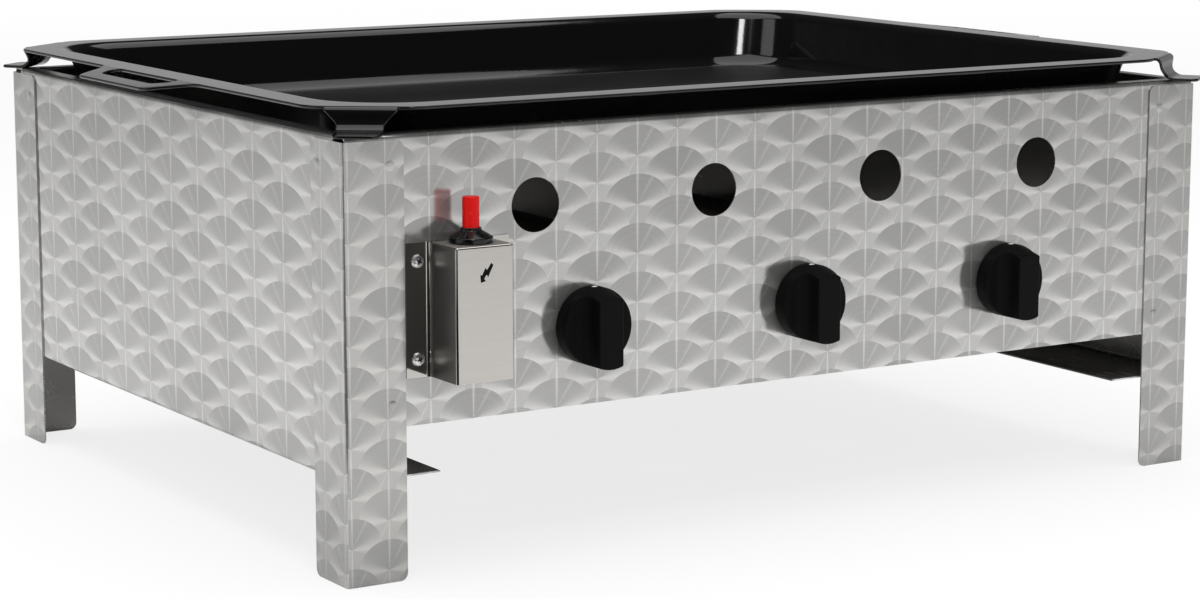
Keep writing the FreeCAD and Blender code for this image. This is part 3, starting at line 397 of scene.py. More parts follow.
def turnedBrass():
    look = {"clean": (0.72, 0.52, 0.24), "dull": (0.42, 0.28, 0.12), "dullShare": 0.7, "stretch": (2, 40, 2),
            "fineness": 70.0, "markSize": 0.015, "roughLow": 0.18, "roughHigh": 0.34, "smudgeRough": 0.12,
            "depth": 0.00002, "bump": 0.6}
    material, tree, sockets, coords = newMaterial("turnedBrass", Metallic=1.0)
    cuts = grainOn(tree, coords, look)
    marks = marksOn(tree, coords, look["markSize"])
    addColour(tree, sockets, times(tree, marks["Smudge"], look["dullShare"]), look["clean"], look["dull"])
    rough = remap(tree, cuts["Grain"], look["roughLow"], look["roughHigh"])
    connect(tree, timesPlus(tree, marks["Smudge"], look["smudgeRough"], rough), sockets["Roughness"])
    addBump(tree, sockets, cuts["Grain"], look["depth"], look["bump"])
    return material


def zincPlate():
    look = {"bright": (0.66, 0.67, 0.69), "yellow": (0.60, 0.56, 0.46), "yellowShare": 0.6, "markSize": 0.006,
            "roughLow": 0.22, "roughHigh": 0.36, "grain": 900.0, "depth": 0.00002, "bump": 0.4}
    material, tree, sockets, coords = newMaterial("zincPlate", Metallic=1.0)
    marks = marksOn(tree, coords, look["markSize"])
    yellowed = times(tree, marks["Smudge"], look["yellowShare"])
    addColour(tree, sockets, yellowed, look["bright"], look["yellow"])
    connect(tree, remap(tree, marks["Smudge"], look["roughLow"], look["roughHigh"]), sockets["Roughness"])
    addBump(tree, sockets, noise(tree, coords["Object"], look["grain"]), look["depth"], look["bump"])
    return material


speckle = {"dustShare": 0.4, "smudgeRough": 0.12, "grain": 700.0, "depth": 0.00002, "bump": 0.4}


def speckledFinish(name, base, fleck, size, roughness, **constants):
    look = speckle
    material, tree, sockets, coords = newMaterial(name, **constants)
    marks = marksOn(tree, coords, size)
    mixed = blendColours(tree, marks["Smudge"], base, fleck)
    addColour(tree, sockets, times(tree, marks["Dust"], look["dustShare"]), mixed, fleck)
    connect(tree, timesPlus(tree, marks["Smudge"], look["smudgeRough"], roughness), sockets["Roughness"])
    addBump(tree, sockets, noise(tree, coords["Object"], look["grain"]), look["depth"], look["bump"])
    return material


def grey(tone):
    return (tone, tone, tone)


panelSteel = engineTurnedSteelPaintedSheen("engineTurnedPanelPaintedSheenAndShade", panelDiscs)
legSteel = engineTurnedSteelPaintedSheen("engineTurnedLegPaintedSheenAndShade", legDiscs)
boxSteel = brushedSteel("brushedBoxSteel", boxBrush)
railSteel = brushedSteel("rolledSteel", railBrush)
burnerFinish = burnerSteel()
enamel = blackEnamel()
knobBlack = mouldedPlastic("knobBlack", grey(0.002), grey(0.004), 0.50, 0.09)
collarBlack = mouldedPlastic("collarBlack", grey(0.002), grey(0.004), 0.08, 0.40)
buttonRed = mouldedPlastic("buttonRed", (0.62, 0.004, 0.003), (0.54, 0.004, 0.003), 0.22, 0.16)
brass = turnedBrass()
zinc = zincPlate()
ceramic = speckledFinish("glazedCeramic", (0.74, 0.71, 0.64), (0.64, 0.60, 0.52), 0.006, 0.24)
rubber = speckledFinish("leadRubber", grey(0.012), (0.022, 0.021, 0.020), 0.010, 0.48)
wireSteel = speckledFinish("springWire", (0.36, 0.35, 0.34), (0.24, 0.23, 0.22), 0.004, 0.24, Metallic=1.0)
whitePaint = speckledFinish("whitePaint", (0.88, 0.88, 0.86), (0.80, 0.80, 0.78), 0.002, 0.40)
blackInk = speckledFinish("blackInk", grey(0.002), grey(0.005), 0.003, 0.5, Specular_IOR_Level=0.1)
# painted shade in the cross recesses of the screw heads
recessPaintedShade = speckledFinish("recessPaintedShade", (0.020, 0.020, 0.019), (0.05, 0.05, 0.048), 0.002, 0.5,
                            Specular_IOR_Level=0.1)

tapPieces = ("valve_body", "valve_cap", "valve_plug", "gas_jet")
nodeFinish = {
    panelSteel: ["front_panel", "rear_panel", "left_side_panel", "right_side_panel"],
    legSteel: ["leg_front_left", "leg_front_right", "leg_rear_left", "leg_rear_right"],
    railSteel: ["front_burner_rail", "rear_burner_rail", "gas_manifold", "manifold_end_plug",
                "electrode_rod"],
    burnerFinish: ["burner_" + tap for tap in tapNames],
    brass: [part + "_" + tap for part in tapPieces for tap in tapNames],
    zinc: ["valve_stem_" + tap for tap in tapNames],
    ceramic: ["electrode_insulator", "piezo_element"],
    rubber: ["ignition_lead"],
    collarBlack: ["igniter_body"],
}
for finish, nodes in nodeFinish.items():
    for node in nodes:
        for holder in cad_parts[node].material_slots:
            holder.material = finish
print("materials on", sum(len(nodes) for nodes in nodeFinish.values()), "frame nodes")


# mesh helpers

def spunShape(profile, steps=64, closed=False):
    bm = bmesh.new()
    verts = [bm.verts.new((radius, 0, along)) for radius, along in profile]
    for first, second in zip(verts, verts[1:] + verts[:1] if closed else verts[1:]):
        bm.edges.new((first, second))
    bmesh.ops.spin(bm, geom=bm.verts[:] + bm.edges[:], cent=(0, 0, 0), axis=(0, 0, 1),
                   angle=2 * math.pi, steps=steps, use_merge=True)
    bmesh.ops.remove_doubles(bm, verts=bm.verts[:], dist=1e-6)
    bmesh.ops.recalc_face_normals(bm, faces=bm.faces[:])
    return bm


def helix(section, radius, pitch, turns, steps=28):
    bm = bmesh.new()
    bm.faces.new([bm.verts.new((radius + across, 0, along)) for across, along in section])
    count = round(steps * turns)
    bmesh.ops.spin(bm, geom=bm.verts[:] + bm.edges[:] + bm.faces[:], cent=(0, 0, 0), axis=(0, 0, 1),
                   dvec=(0, 0, pitch * turns / count), angle=2 * math.pi * turns, steps=count)
    bmesh.ops.recalc_face_normals(bm, faces=bm.faces[:])
    return bm


def bevelEdges(bm, edges, width, segments, clamp=False):
    bmesh.ops.bevel(bm, geom=edges, offset=width, affect="EDGES", segments=segments, profile=0.5,
                    material=-1, clamp_overlap=clamp)


def sharpEdges(bm, angle):
    edges = [edge for edge in bm.edges if edge.is_manifold]
    return [edge for edge in edges if edge.calc_face_angle() > math.radians(angle)]


def softenEdges(bm, width, segments=3, sharper=30):
    bevelEdges(bm, sharpEdges(bm, sharper), width, segments, clamp=True)


def roundCorners(bm, verts, radius, segments=6):
    for vert in verts:
        first, second = [edge.other_vert(vert).co - vert.co for edge in vert.link_edges]
        reach = radius / math.tan(first.angle(second) / 2)
        bmesh.ops.bevel(bm, geom=[vert], offset=reach, affect="VERTICES", segments=segments, profile=0.5,
                        material=-1)


def aimed(place, direction, turn=0.0):
    return (Matrix.Translation(place) @ direction.to_track_quat("Z", "Y").to_matrix().to_4x4()
            @ Matrix.Rotation(turn, 4, "Z"))


def roundBar(sides, radius, height):
    bm = bmesh.new()
    bmesh.ops.create_cone(bm, cap_ends=True, segments=sides, radius1=radius, radius2=radius, depth=height)
    return bm


def hexagonShape(flats, height, bore, edge):
    bm = roundBar(6, flats / math.sqrt(3), height)
    softenEdges(bm, edge, 2)
    moved(bm, Matrix.Translation((0, 0, height / 2)))
    return carved(bm, roundBar(48, bore, 4 * height)) if bore else bm


def softBlock(size, edge):
    bm = bmesh.new()
    bmesh.ops.create_cube(bm, size=1)
    bmesh.ops.scale(bm, vec=size, verts=bm.verts[:])
    softenEdges(bm, edge)
    return bm


def meshObject(bm, name):
    mesh = bpy.data.meshes.new(name)
    bm.to_mesh(mesh)
    bm.free()
    thing = bpy.data.objects.new(name, mesh)
    bpy.context.scene.collection.objects.link(thing)
    return thing


def carved(bm, cutter):
    solid = meshObject(bm, "solid")
    knife = meshObject(cutter, "knife")
    cut = solid.modifiers.new("cut", "BOOLEAN")
    cut.operation = "DIFFERENCE"
    cut.solver = "EXACT"
    cut.object = knife
    result = bmesh.new()
    result.from_object(solid, bpy.context.evaluated_depsgraph_get())
    for thing in (solid, knife):
        mesh = thing.data
        bpy.data.objects.remove(thing)
        bpy.data.meshes.remove(mesh)
    bmesh.ops.remove_doubles(result, verts=result.verts[:], dist=1e-6)
    return result


def addShape(whole, bm):
    mesh = bpy.data.meshes.new("added")
    bm.to_mesh(mesh)
    bm.free()
    whole.from_mesh(mesh)
    bpy.data.meshes.remove(mesh)


def gathered(shapes):
    whole = bmesh.new()
    for bm in shapes:
        addShape(whole, bm)
    return whole


def drawnOut(bm, face, vector):
    made = bmesh.ops.extrude_face_region(bm, geom=[face, *face.edges])["geom"]
    verts = [part for part in made if isinstance(part, bmesh.types.BMVert)]
    bmesh.ops.translate(bm, vec=vector, verts=verts)


def moved(bm, matrix):
    bmesh.ops.transform(bm, matrix=matrix, verts=bm.verts[:])
    return bm


def domed(radius, rise, shares):
    return [(radius * out, rise * up) for out, up in shares]


def finishPiece(bm, name, material, body, nodes=(), smoothAngle=40):
    piece = meshObject(bm, name)
    piece.data.materials.append(material)
    piece.data.shade_smooth()
    piece.data.set_sharp_from_angle(angle=math.radians(smoothAngle))
    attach(piece, body)
    if nodes:
        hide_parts(*nodes)
    return piece


def addSheet(piece, thickness):
    wall = piece.modifiers.new("sheet", "SOLIDIFY")
    wall.thickness = thickness
    wall.offset = -1
    wall.use_even_offset = True


def addEdge(piece, width, segments):
    edge = piece.modifiers.new("edge", "BEVEL")
    edge.width = width
    edge.segments = segments
    edge.limit_method = "ANGLE"
    edge.angle_limit = math.radians(60)
    return edge


def evenShading(piece):
    even = piece.modifiers.new("evenShading", "WEIGHTED_NORMAL")
    even.keep_sharp = True


# griddle pan: pressed from one sheet, so its top face is modelled and then given its thickness

pan = {"sheet": 0.002, "rimWidth": 0.026, "overhang": 0.0065, "roll": 0.008, "cutX": 0.052, "cutY": 0.038,
       "kink": 0.020, "depth": 0.042, "draft": 17, "corner": 0.046, "floorRoll": 0.014, "stepBorder": 0.020,
       "step": 0.003, "stepEdge": 0.0012, "handleReach": 0.028, "handleRoot": 0.138, "handleTip": 0.100,
       "droop": 0.003, "tipRound": 0.009, "rootBlend": 0.014, "slotWidth": 0.016, "slotRoot": 0.108,
       "slotTip": 0.078, "slotRound": 0.006, "footRoot": 0.043, "footTip": 0.028, "footRound": 0.005,
       "topBend": 0.004, "footBend": 0.008, "footOffset": 0.0005, "footOverhang": 0.006, "lip": 0.0007}
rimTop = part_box("griddle_pan")[1].z
bodyCorner = legHigh - bodyMiddle
rimX, rimY = bodyCorner.x + pan["overhang"], bodyCorner.y + pan["overhang"]
wellX, wellY = rimX - pan["rimWidth"], rimY - pan["rimWidth"]


def outlineLoop(corners, segments=6):
    bm = bmesh.new()
    verts = [bm.verts.new((x, y, 0)) for x, y, radius in corners]
    bm.faces.new(verts)
    for vert, (x, y, radius) in zip(verts, corners):
        if radius:
            roundCorners(bm, [vert], radius, segments)
    bmesh.ops.delete(bm, geom=bm.faces[:], context="FACES_ONLY")
    return bm


def addLoop(bm, loop):
    known = set(bm.edges)
    addShape(bm, loop)
    return [edge for edge in bm.edges if edge not in known]


def bandLoop(bm):
    corner = (wellX + pan["roll"], wellY + pan["roll"], pan["corner"] + pan["roll"])
    return addLoop(bm, outlineLoop(allQuarters([corner]), 10))


def panBasin():
    bm = bmesh.new()
    depth = pan["depth"]
    shrink = depth * math.tan(math.radians(pan["draft"]))
    bmesh.ops.create_cube(bm, size=2)
    bmesh.ops.scale(bm, vec=(wellX, wellY, depth / 2), verts=bm.verts[:])
    bmesh.ops.translate(bm, vec=(0, 0, -depth / 2), verts=bm.verts[:])
    foot = [vert for vert in bm.verts if vert.co.z < -depth / 2]
    bmesh.ops.scale(bm, vec=(1 - shrink / wellX, 1 - shrink / wellY, 1), verts=foot)
    uprights = [edge for edge in bm.edges if abs(edge.verts[0].co.z - edge.verts[1].co.z) > depth / 2]
    bevelEdges(bm, uprights, pan["corner"], 10)
    lid = max(bm.faces, key=lambda face: face.calc_center_median().z)
    bmesh.ops.delete(bm, geom=[lid], context="FACES_ONLY")
    mouth = [edge for edge in bm.edges if edge.is_boundary]
    bmesh.ops.bridge_loops(bm, edges=mouth + bandLoop(bm))
    halfTurn = math.radians(90 - pan["draft"]) / 2
    bevelEdges(bm, [edge for edge in mouth if edge.is_valid], pan["roll"] * math.tan(halfTurn), 6)
    floor = min(bm.faces, key=lambda face: face.calc_center_median().z)
    floorReach = pan["floorRoll"] * math.tan(halfTurn)
    bevelEdges(bm, floor.edges[:], floorReach, 6)
    floor = min(bm.faces, key=lambda face: (round(face.calc_center_median().z, 5), -face.calc_area()))
    border = pan["stepBorder"] - floorReach
    bmesh.ops.inset_region(bm, faces=[floor], thickness=border, use_even_offset=True)
    step = floor.edges[:]
    bmesh.ops.inset_region(bm, faces=[floor], thickness=pan["step"], use_even_offset=True)
    bmesh.ops.translate(bm, vec=(0, 0, pan["step"]), verts=floor.verts[:])
    bevelEdges(bm, step + floor.edges[:], pan["stepEdge"], 3)
    return bm


def allQuarters(quarter):
    half = quarter + [(x, -y, radius) for x, y, radius in quarter[::-1]]
    return half + [(-x, y, radius) for x, y, radius in half[::-1]]


def panPlate():
    bm = bmesh.new()
    cutX, cutY, tipX = pan["cutX"], pan["cutY"], rimX + pan["handleReach"]
    middle = Vector((rimX - cutX / 2, rimY - cutY / 2))
    along = Vector((cutX, -cutY)).normalized() * pan["footRoot"] / 2
    quarter = [(rimX - cutX, rimY, pan["kink"]), (*(middle - along), 0), (*(middle + along), 0),
               (rimX, rimY - cutY, pan["kink"]), (rimX, pan["handleRoot"] / 2, pan["rootBlend"]),
               (tipX, pan["handleTip"] / 2, pan["tipRound"])]  # each with the radius that rounds it
    addLoop(bm, outlineLoop(allQuarters(quarter)))
    slotX, slotRoot, slotTip = rimX + pan["slotWidth"], pan["slotRoot"] / 2, pan["slotTip"] / 2
    points = [(rimX, -slotRoot), (slotX, -slotTip), (slotX, slotTip), (rimX, slotRoot)]
    for side in (1, -1):
        addLoop(bm, outlineLoop([(side * x, y, pan["slotRound"]) for x, y in points]))
    bandLoop(bm)
    bmesh.ops.triangle_fill(bm, use_beauty=True, edges=bm.edges[:], normal=(0, 0, 1))
    for side in (1, -1):
        bmesh.ops.bisect_plane(bm, geom=bm.verts[:] + bm.edges[:] + bm.faces[:], dist=1e-6,
                               plane_co=(side * rimX, 0, 0), plane_no=(side, 0, 0))
    for vert in bm.verts:
        beyond = max(abs(vert.co.x) - rimX, 0)
        vert.co.z -= pan["droop"] * beyond / pan["handleReach"]
    return bm, middle, along


def panFoot(middle, along):
    bm = bmesh.new()
    root = middle.to_3d()
    across = along.to_3d()
    outward = Vector((pan["cutY"], pan["cutX"], 0)).normalized()
    edge = bm.edges.new([bm.verts.new(root - across), bm.verts.new(root + across)])
    reach = (bodyCorner - root).dot(outward) + pan["footOverhang"]
    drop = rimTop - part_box("front_panel")[1].z - pan["sheet"]
    bendAxis = across.normalized()

    def lead(distance, direction):
        nonlocal edge
        made = bmesh.ops.extrude_edge_only(bm, edges=[edge])["geom"]
        edge = [part for part in made if isinstance(part, bmesh.types.BMEdge)][0]
        bmesh.ops.translate(bm, vec=direction * distance, verts=edge.verts[:])

    def bend(radius, side, direction):
        nonlocal edge
        centre = edge.verts[0].co + direction * radius
        made = bmesh.ops.spin(bm, geom=[edge, *edge.verts], cent=centre, axis=bendAxis,
                              angle=-side * math.pi / 2, steps=6)
        edge = [part for part in made["geom_last"] if isinstance(part, bmesh.types.BMEdge)][0]

    lead(pan["footOffset"], outward)
    bend(pan["topBend"], 1, -zAxis)
    lead(drop - pan["topBend"] - pan["footBend"], -zAxis)
    bend(pan["footBend"], -1, outward)
    lead(reach - (edge.verts[0].co - root).dot(outward), outward)
    narrow = pan["footTip"] / pan["footRoot"] - 1
    taper = drop - pan["footBend"] / 2 - pan["sheet"]
    for vert in bm.verts:  # the foot narrows on its way down
        share = min(max((-vert.co.z - pan["sheet"]) / taper, 0), 1)
        vert.co += bendAxis * (vert.co - root).dot(bendAxis) * narrow * share
    roundCorners(bm, edge.verts[:], pan["footRound"], segments=5)
    return bm


def buildPan():
    plate, middle, along = panPlate()
    shapes = [panBasin(), plate]
    for turnX in (1, -1):
        for turnY in (1, -1):
            foot = panFoot(middle, along)
            bmesh.ops.scale(foot, vec=(turnX, turnY, 1), verts=foot.verts[:])
            shapes.append(foot)
    bm = gathered(shapes)
    bmesh.ops.remove_doubles(bm, verts=bm.verts[:], dist=2e-5)
    bmesh.ops.recalc_face_normals(bm, faces=bm.faces[:])
    plateau = max(bm.faces, key=lambda face: face.calc_area())
    if plateau.normal.z < 0:
        bmesh.ops.reverse_faces(bm, faces=bm.faces[:])
    moved(bm, Matrix.Translation((bodyMiddle.x, bodyMiddle.y, rimTop)))
    piece = finishPiece(bm, "pan_shell", enamel, "pan", ["griddle_pan"], 50)
    addSheet(piece, pan["sheet"])
    addEdge(piece, pan["lip"], 3).use_clamp_overlap = False
    evenShading(piece)


buildPan()
print("griddle pan done")


# knobs: a tapered round knob, scooped away on both sides of its grip bar

knob = {"radius": 0.024, "straight": 0.0080, "skirt": 0.0105, "barWidth": 0.017, "barTop": 0.0195,
        "scoop": 0.008, "edge": 0.0007, "flatArea": 0.0001, "steps": 76, "hollow": 0.0085, "wall": 0.0025,
        "flatTurn": 0.5, "weld": 2e-5, "sharp": 24, "dotSize": 0.0019, "dotAlong": 0.0058, "dotRise": 0.00012,
        "dotRoot": -0.0004, "dotDome": [(0, 1), (0.9, 0.8)]}


def scoopCutter(side, foot, top):
    bm = bmesh.new()
    near, far = knob["barWidth"] / 2, 2 * knob["radius"]
    corners = [(near, top), (near, foot), (far, foot), (far, top)]
    verts = [bm.verts.new((side * x, -far, z)) for x, z in corners]
    for first, second in zip(verts, verts[1:] + verts[:1]):
        bm.edges.new((first, second))
    roundCorners(bm, [verts[1]], knob["scoop"], 12)
    face = bmesh.ops.contextual_create(bm, geom=bm.edges[:])["faces"][0]
    drawnOut(bm, face, (0, 2 * far, 0))
    bmesh.ops.recalc_face_normals(bm, faces=bm.faces[:])
    return bm


def buildKnob(tap):
    node = "knob_" + tap
    low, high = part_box(node)
    gap, reach = frontFace - high.y, frontFace - low.y
    radius, inner = knob["radius"], knob["radius"] - knob["wall"]
    floor, brow = gap + knob["hollow"], gap + knob["straight"]
    crown = (radius + knob["barTop"]) / 2
    bm = spunShape([(0, floor), (inner, floor), (inner, gap), (radius, gap), (radius, brow), (crown, reach),
                    (0, reach)], knob["steps"])
    crownVerts = [vert for vert in bm.verts if vert.co.z > reach - 1e-6]
    bmesh.ops.translate(bm, vec=(0, crown - radius, 0), verts=crownVerts)  # only the marked end slopes
    for side in (1, -1):
        bm = carved(bm, scoopCutter(side, gap + knob["skirt"], reach + knob["radius"]))
    flatTurn = math.radians(knob["flatTurn"])
    bmesh.ops.dissolve_limit(bm, angle_limit=flatTurn, verts=bm.verts[:], edges=bm.edges[:])
    bmesh.ops.dissolve_degenerate(bm, dist=knob["weld"], edges=bm.edges[:])
    bevelEdges(bm, sharpEdges(bm, knob["sharp"]), knob["edge"], 3)
    place = Vector(((low.x + high.x) / 2, frontFace, (low.z + high.z) / 2))
    stand = Matrix.Translation(place) @ Matrix(((1, 0, 0, 0), (0, 0, -1, 0), (0, 1, 0, 0), (0, 0, 0, 1)))
    moved(bm, stand)
    grip = finishPiece(bm, node + "_grip", knobBlack, node, [node], 35)
    for face in grip.data.polygons:
        face.use_smooth = face.area < knob["flatArea"]  # the bar's broad faces stay flat
    evenShading(grip)
    size, root = knob["dotSize"], knob["dotRoot"]
    dot = spunShape(domed(size, knob["dotRise"], knob["dotDome"]) + [(size, root), (0, root)], 32)
    moved(dot, aimed(stand @ Vector((0, radius, gap + knob["dotAlong"])), zAxis))
    finishPiece(dot, node + "_mark", whitePaint, node)


for tapName in tapNames:
    buildKnob(tapName)
print("knobs done")


# igniter: folded box, screws, collar and button

igniter = {"sheet": 0.001, "flange": 0.0155, "outerBend": 0.0025, "frontBend": 0.0017, "lidEdge": 0.0013,
           "sheetEdge": 0.0002, "screwInset": 0.011, "collarBase": 0.0130, "collarTop": 0.0062,
           "collarSkirt": 0.0034, "collarRise": 0.009, "collarLip": 0.0015, "collarEdge": 0.0007,
           "buttonRadius": 0.005, "buttonEdge": 0.0008, "buttonFlange": 0.003, "running": 0.0002,
           "neck": 0.0081, "neckRise": 0.0052}
boxLow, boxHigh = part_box("igniter_box")
boxMiddle = middleOf("igniter_box")
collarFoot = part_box("igniter_collar")[0].z


def buildIgniterBox():
    sheet = igniter["sheet"]
    halfFlange = (boxHigh.x - boxLow.x) / 2
    half = halfFlange - igniter["flange"]
    depth = boxHigh.y - boxLow.y
    height = boxHigh.z - boxLow.z
    bm = bmesh.new()
    path = [(-halfFlange, -sheet), (-half, -sheet), (-half, -depth), (half, -depth), (half, -sheet),
            (halfFlange, -sheet)]
    verts = [bm.verts.new((x, y, 0)) for x, y in path]
    for first, second in zip(verts, verts[1:]):
        bm.edges.new((first, second))
    roundCorners(bm, [verts[1], verts[4]], igniter["outerBend"], 4)
    roundCorners(bm, [verts[2], verts[3]], igniter["frontBend"], 4)
    made = bmesh.ops.extrude_edge_only(bm, edges=bm.edges[:])["geom"]
    topVerts = [part for part in made if isinstance(part, bmesh.types.BMVert)]
    bmesh.ops.translate(bm, vec=(0, 0, height), verts=topVerts)
    walls = [vert for vert in topVerts if abs(vert.co.x) < half + 1e-5]
    mouth = [vert for vert in walls if vert.co.y < -sheet - 1e-4]
    bm.faces.new(sorted(mouth, key=lambda vert: lidOrder(vert, half, depth)))
    bmesh.ops.recalc_face_normals(bm, faces=bm.faces[:])
    lidEdges = [edge for edge in bm.edges
                if edge.is_manifold and all(vert.co.z > height - 1e-6 for vert in edge.verts)]
    bevelEdges(bm, lidEdges, igniter["lidEdge"], 3)
    front = min(bm.faces, key=lambda face: face.calc_center_median().y)
    if front.normal.y > 0:
        bmesh.ops.reverse_faces(bm, faces=bm.faces[:])
    moved(bm, Matrix.Translation((boxMiddle.x, boxHigh.y, boxLow.z)))
    piece = finishPiece(bm, "igniter_box_shell", boxSteel, "chassis", ["igniter_box"], 40)
    addSheet(piece, sheet)
    addEdge(piece, igniter["sheetEdge"], 2)
    evenShading(piece)


def lidOrder(vert, half, depth):
    if vert.co.x < -half + 1e-5:
        return -2 * half - vert.co.y - depth
    if vert.co.x > half - 1e-5:
        return 2 * half + vert.co.y + depth
    return vert.co.x


def buildIgniterButton():
    low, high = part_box("igniter_button")
    top, foot = high.z - collarFoot, low.z - collarFoot
    radius, flange = igniter["buttonRadius"], high.x - boxMiddle.x
    ledge = foot + igniter["buttonFlange"]
    button = spunShape([(0, top), (radius, top), (radius, ledge), (flange, ledge), (flange, foot),
                        (0, foot)])
    softenEdges(button, igniter["buttonEdge"], 4)
    place = Vector((boxMiddle.x, middleOf("igniter_collar").y, collarFoot))
    moved(button, Matrix.Translation(place))
    piece = finishPiece(button, "igniter_push_button", buttonRed, "igniter_plunger",
                        ["igniter_button"])
    evenShading(piece)
    base, crown, bore = igniter["collarBase"], igniter["collarTop"], radius + igniter["running"]
    rise, skirt = igniter["collarRise"], igniter["collarSkirt"]
    brow, neck, neckRise = rise - igniter["collarLip"], igniter["neck"], igniter["neckRise"]
    collar = spunShape([(neck, 0), (base, 0), (base, skirt), (crown, brow), (crown, rise), (bore, rise),
                        (bore, neckRise), (neck, neckRise)], closed=True)
    softenEdges(collar, igniter["collarEdge"], 4, 20)
    moved(collar, Matrix.Translation(place))
    piece = finishPiece(collar, "igniter_ring_collar", collarBlack, "chassis",
                        ["igniter_collar"], 30)
    evenShading(piece)


screw = {"head": 0.004, "shank": 0.002, "rise": 0.0024, "edge": 0.0002, "crossReach": 0.0054,
         "crossWidth": 0.0012, "crossDepth": 0.0017, "crossTaper": (0.4, 0.7, 1), "turn": 0.4,
         "turnStep": 0.7, "dome": [(0, 1), (0.55, 0.92), (0.85, 0.68), (1, 0.28), (1, 0)], "nutFlats": 0.007,
         "nutHeight": 0.0032, "nutBore": 0.00206, "nutEdge": 0.0003, "nutTurnStep": 0.3, "boxGrip": 0.002,
         "burnerGrip": 0.003}  # a dome is given in shares of the head's radius and rise


def crossScrew(length):
    head, shank, rise, depth = screw["head"], screw["shank"], screw["rise"], screw["crossDepth"]
    shaft = [(shank, 0), (shank, -length), (0, -length)]
    bm = spunShape(domed(head, rise, screw["dome"]) + shaft, 40)
    softenEdges(bm, screw["edge"], 2, 40)
    for turn in (0, math.pi / 2):
        cutter = bmesh.new()
        bmesh.ops.create_cube(cutter, size=1)
        size = (screw["crossReach"], screw["crossWidth"], 2 * depth)
        bmesh.ops.scale(cutter, vec=size, verts=cutter.verts[:])
        foot = [vert for vert in cutter.verts if vert.co.z < 0]
        bmesh.ops.scale(cutter, vec=screw["crossTaper"], verts=foot)
        for face in cutter.faces:
            face.material_index = 1  # the recess takes the dark second material: painted shade
        moved(cutter, Matrix.Translation((0, 0, rise)) @ Matrix.Rotation(turn, 4, "Z"))
        bm = carved(bm, cutter)
    return bm


def buildScrews(nodeName, nutName, places, outward, grip):
    low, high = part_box(nodeName)
    length = (high.y - low.y) - screw["rise"]
    shapes = []
    nuts = []
    for index, place in enumerate(places):
        turn = screw["turn"] + screw["turnStep"] * index
        shapes.append(moved(crossScrew(length), aimed(place, outward, turn)))
        nut = hexagonShape(screw["nutFlats"], screw["nutHeight"], screw["nutBore"], screw["nutEdge"])
        nuts.append(moved(nut, aimed(place - outward * grip, -outward, screw["nutTurnStep"] * index)))
    heads = finishPiece(gathered(shapes), nodeName + "_set", zinc, "chassis", [nodeName], 30)
    # the recess colour is painted shade
    heads.data.materials.append(recessPaintedShade)
    evenShading(heads)
    evenShading(finishPiece(gathered(nuts), nutName + "_set", zinc, "chassis", [nutName], 30))


buildIgniterBox()
buildIgniterButton()
screwOut = (boxHigh.x - boxLow.x) / 2 - igniter["flange"] / 2
screwSeat = boxHigh.y - igniter["sheet"]
boxScrewPlaces = [Vector((boxMiddle.x + side * screwOut, screwSeat, height)) for side in (-1, 1)
                  for height in (boxLow.z + igniter["screwInset"], boxHigh.z - igniter["screwInset"])]
buildScrews("igniter_box_screws", "igniter_box_nuts", boxScrewPlaces, -yAxis, screw["boxGrip"])
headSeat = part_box("burner_screws")[0].y + screw["rise"]
burnerScrewPlaces = [Vector((middleOf("knob_" + tap).x, headSeat, middleOf("burner_screws").z))
                     for tap in tapNames]
buildScrews("burner_screws", "burner_nuts", burnerScrewPlaces, -yAxis, screw["burnerGrip"])
print("igniter and screws done")


# spark sign on the box: a plain bolt with an arrow head

sign = {"width": 0.0087, "height": 0.0112, "drop": 0.0102, "aside": 0.0009, "thickness": 0.00012}


def buildSign():
    bm = bmesh.new()
    points = [(0.85, 1.0), (1.0, 0.89), (0.60, 0.28), (0.48, 0.41), (0.29, 0.21), (0.41, 0.07), (0.05, 0.0),
              (0.0, 0.39), (0.16, 0.40), (0.39, 0.76), (0.52, 0.64)]  # shares of the sign's width and height
    verts = [bm.verts.new((x * sign["width"], 0, z * sign["height"])) for x, z in points]
    drawnOut(bm, bm.faces.new(verts), (0, -sign["thickness"], 0))
    bmesh.ops.recalc_face_normals(bm, faces=bm.faces[:])
    left = boxMiddle.x + sign["aside"] - sign["width"] / 2
    foot = Vector((left, boxLow.y, boxHigh.z - sign["drop"] - sign["height"]))
    moved(bm, Matrix.Translation(foot))
    finishPiece(bm, "spark_sign", blackInk, "chassis", (), 20)


buildSign()
print("sign done")


# rivets: low heads, almost flush with the legs

rivet = {"edge": 0.009, "head": 0.0032, "rise": 0.0003, "dome": [(0, 1), (0.5, 0.8), (0.8, 0.35), (1, 0)],
         "shank": 0.0016, "grip": 0.002, "tail": 0.0024, "tailRise": 0.0008, "flange": 0.040}


def rivetShape():
    shank, tail, inner = rivet["shank"], rivet["tail"], -rivet["grip"]
    end = inner - rivet["tailRise"]
    shaft = [(shank, 0), (shank, inner), (tail, inner), (tail, end), (0, end)]
    return spunShape(domed(rivet["head"], rivet["rise"], rivet["dome"]) + shaft, 32)


def buildRivets():
    low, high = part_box("panel_rivets")
    fromCorner = rivet["flange"] - rivet["edge"]
    half = (legHigh - legLow) / 2
    shapes = []
    for sideX in (1, -1):
        for sideY in (1, -1):
            for height in (low.z + rivet["head"], high.z - rivet["head"]):
                seats = [(Vector((sideX * (half.x - fromCorner), sideY * half.y, height)), yAxis * sideY),
                         (Vector((sideX * half.x, sideY * (half.y - fromCorner), height)), xAxis * sideX)]
                for seat, outward in seats:
                    shapes.append(moved(rivetShape(), aimed(seat + bodyMiddle, outward)))
    finishPiece(gathered(shapes), "panel_rivet_heads", legSteel, "chassis", ["panel_rivets"],
                50)


buildRivets()
print("rivets done")


# springs, tap nuts and the threaded gas inlet

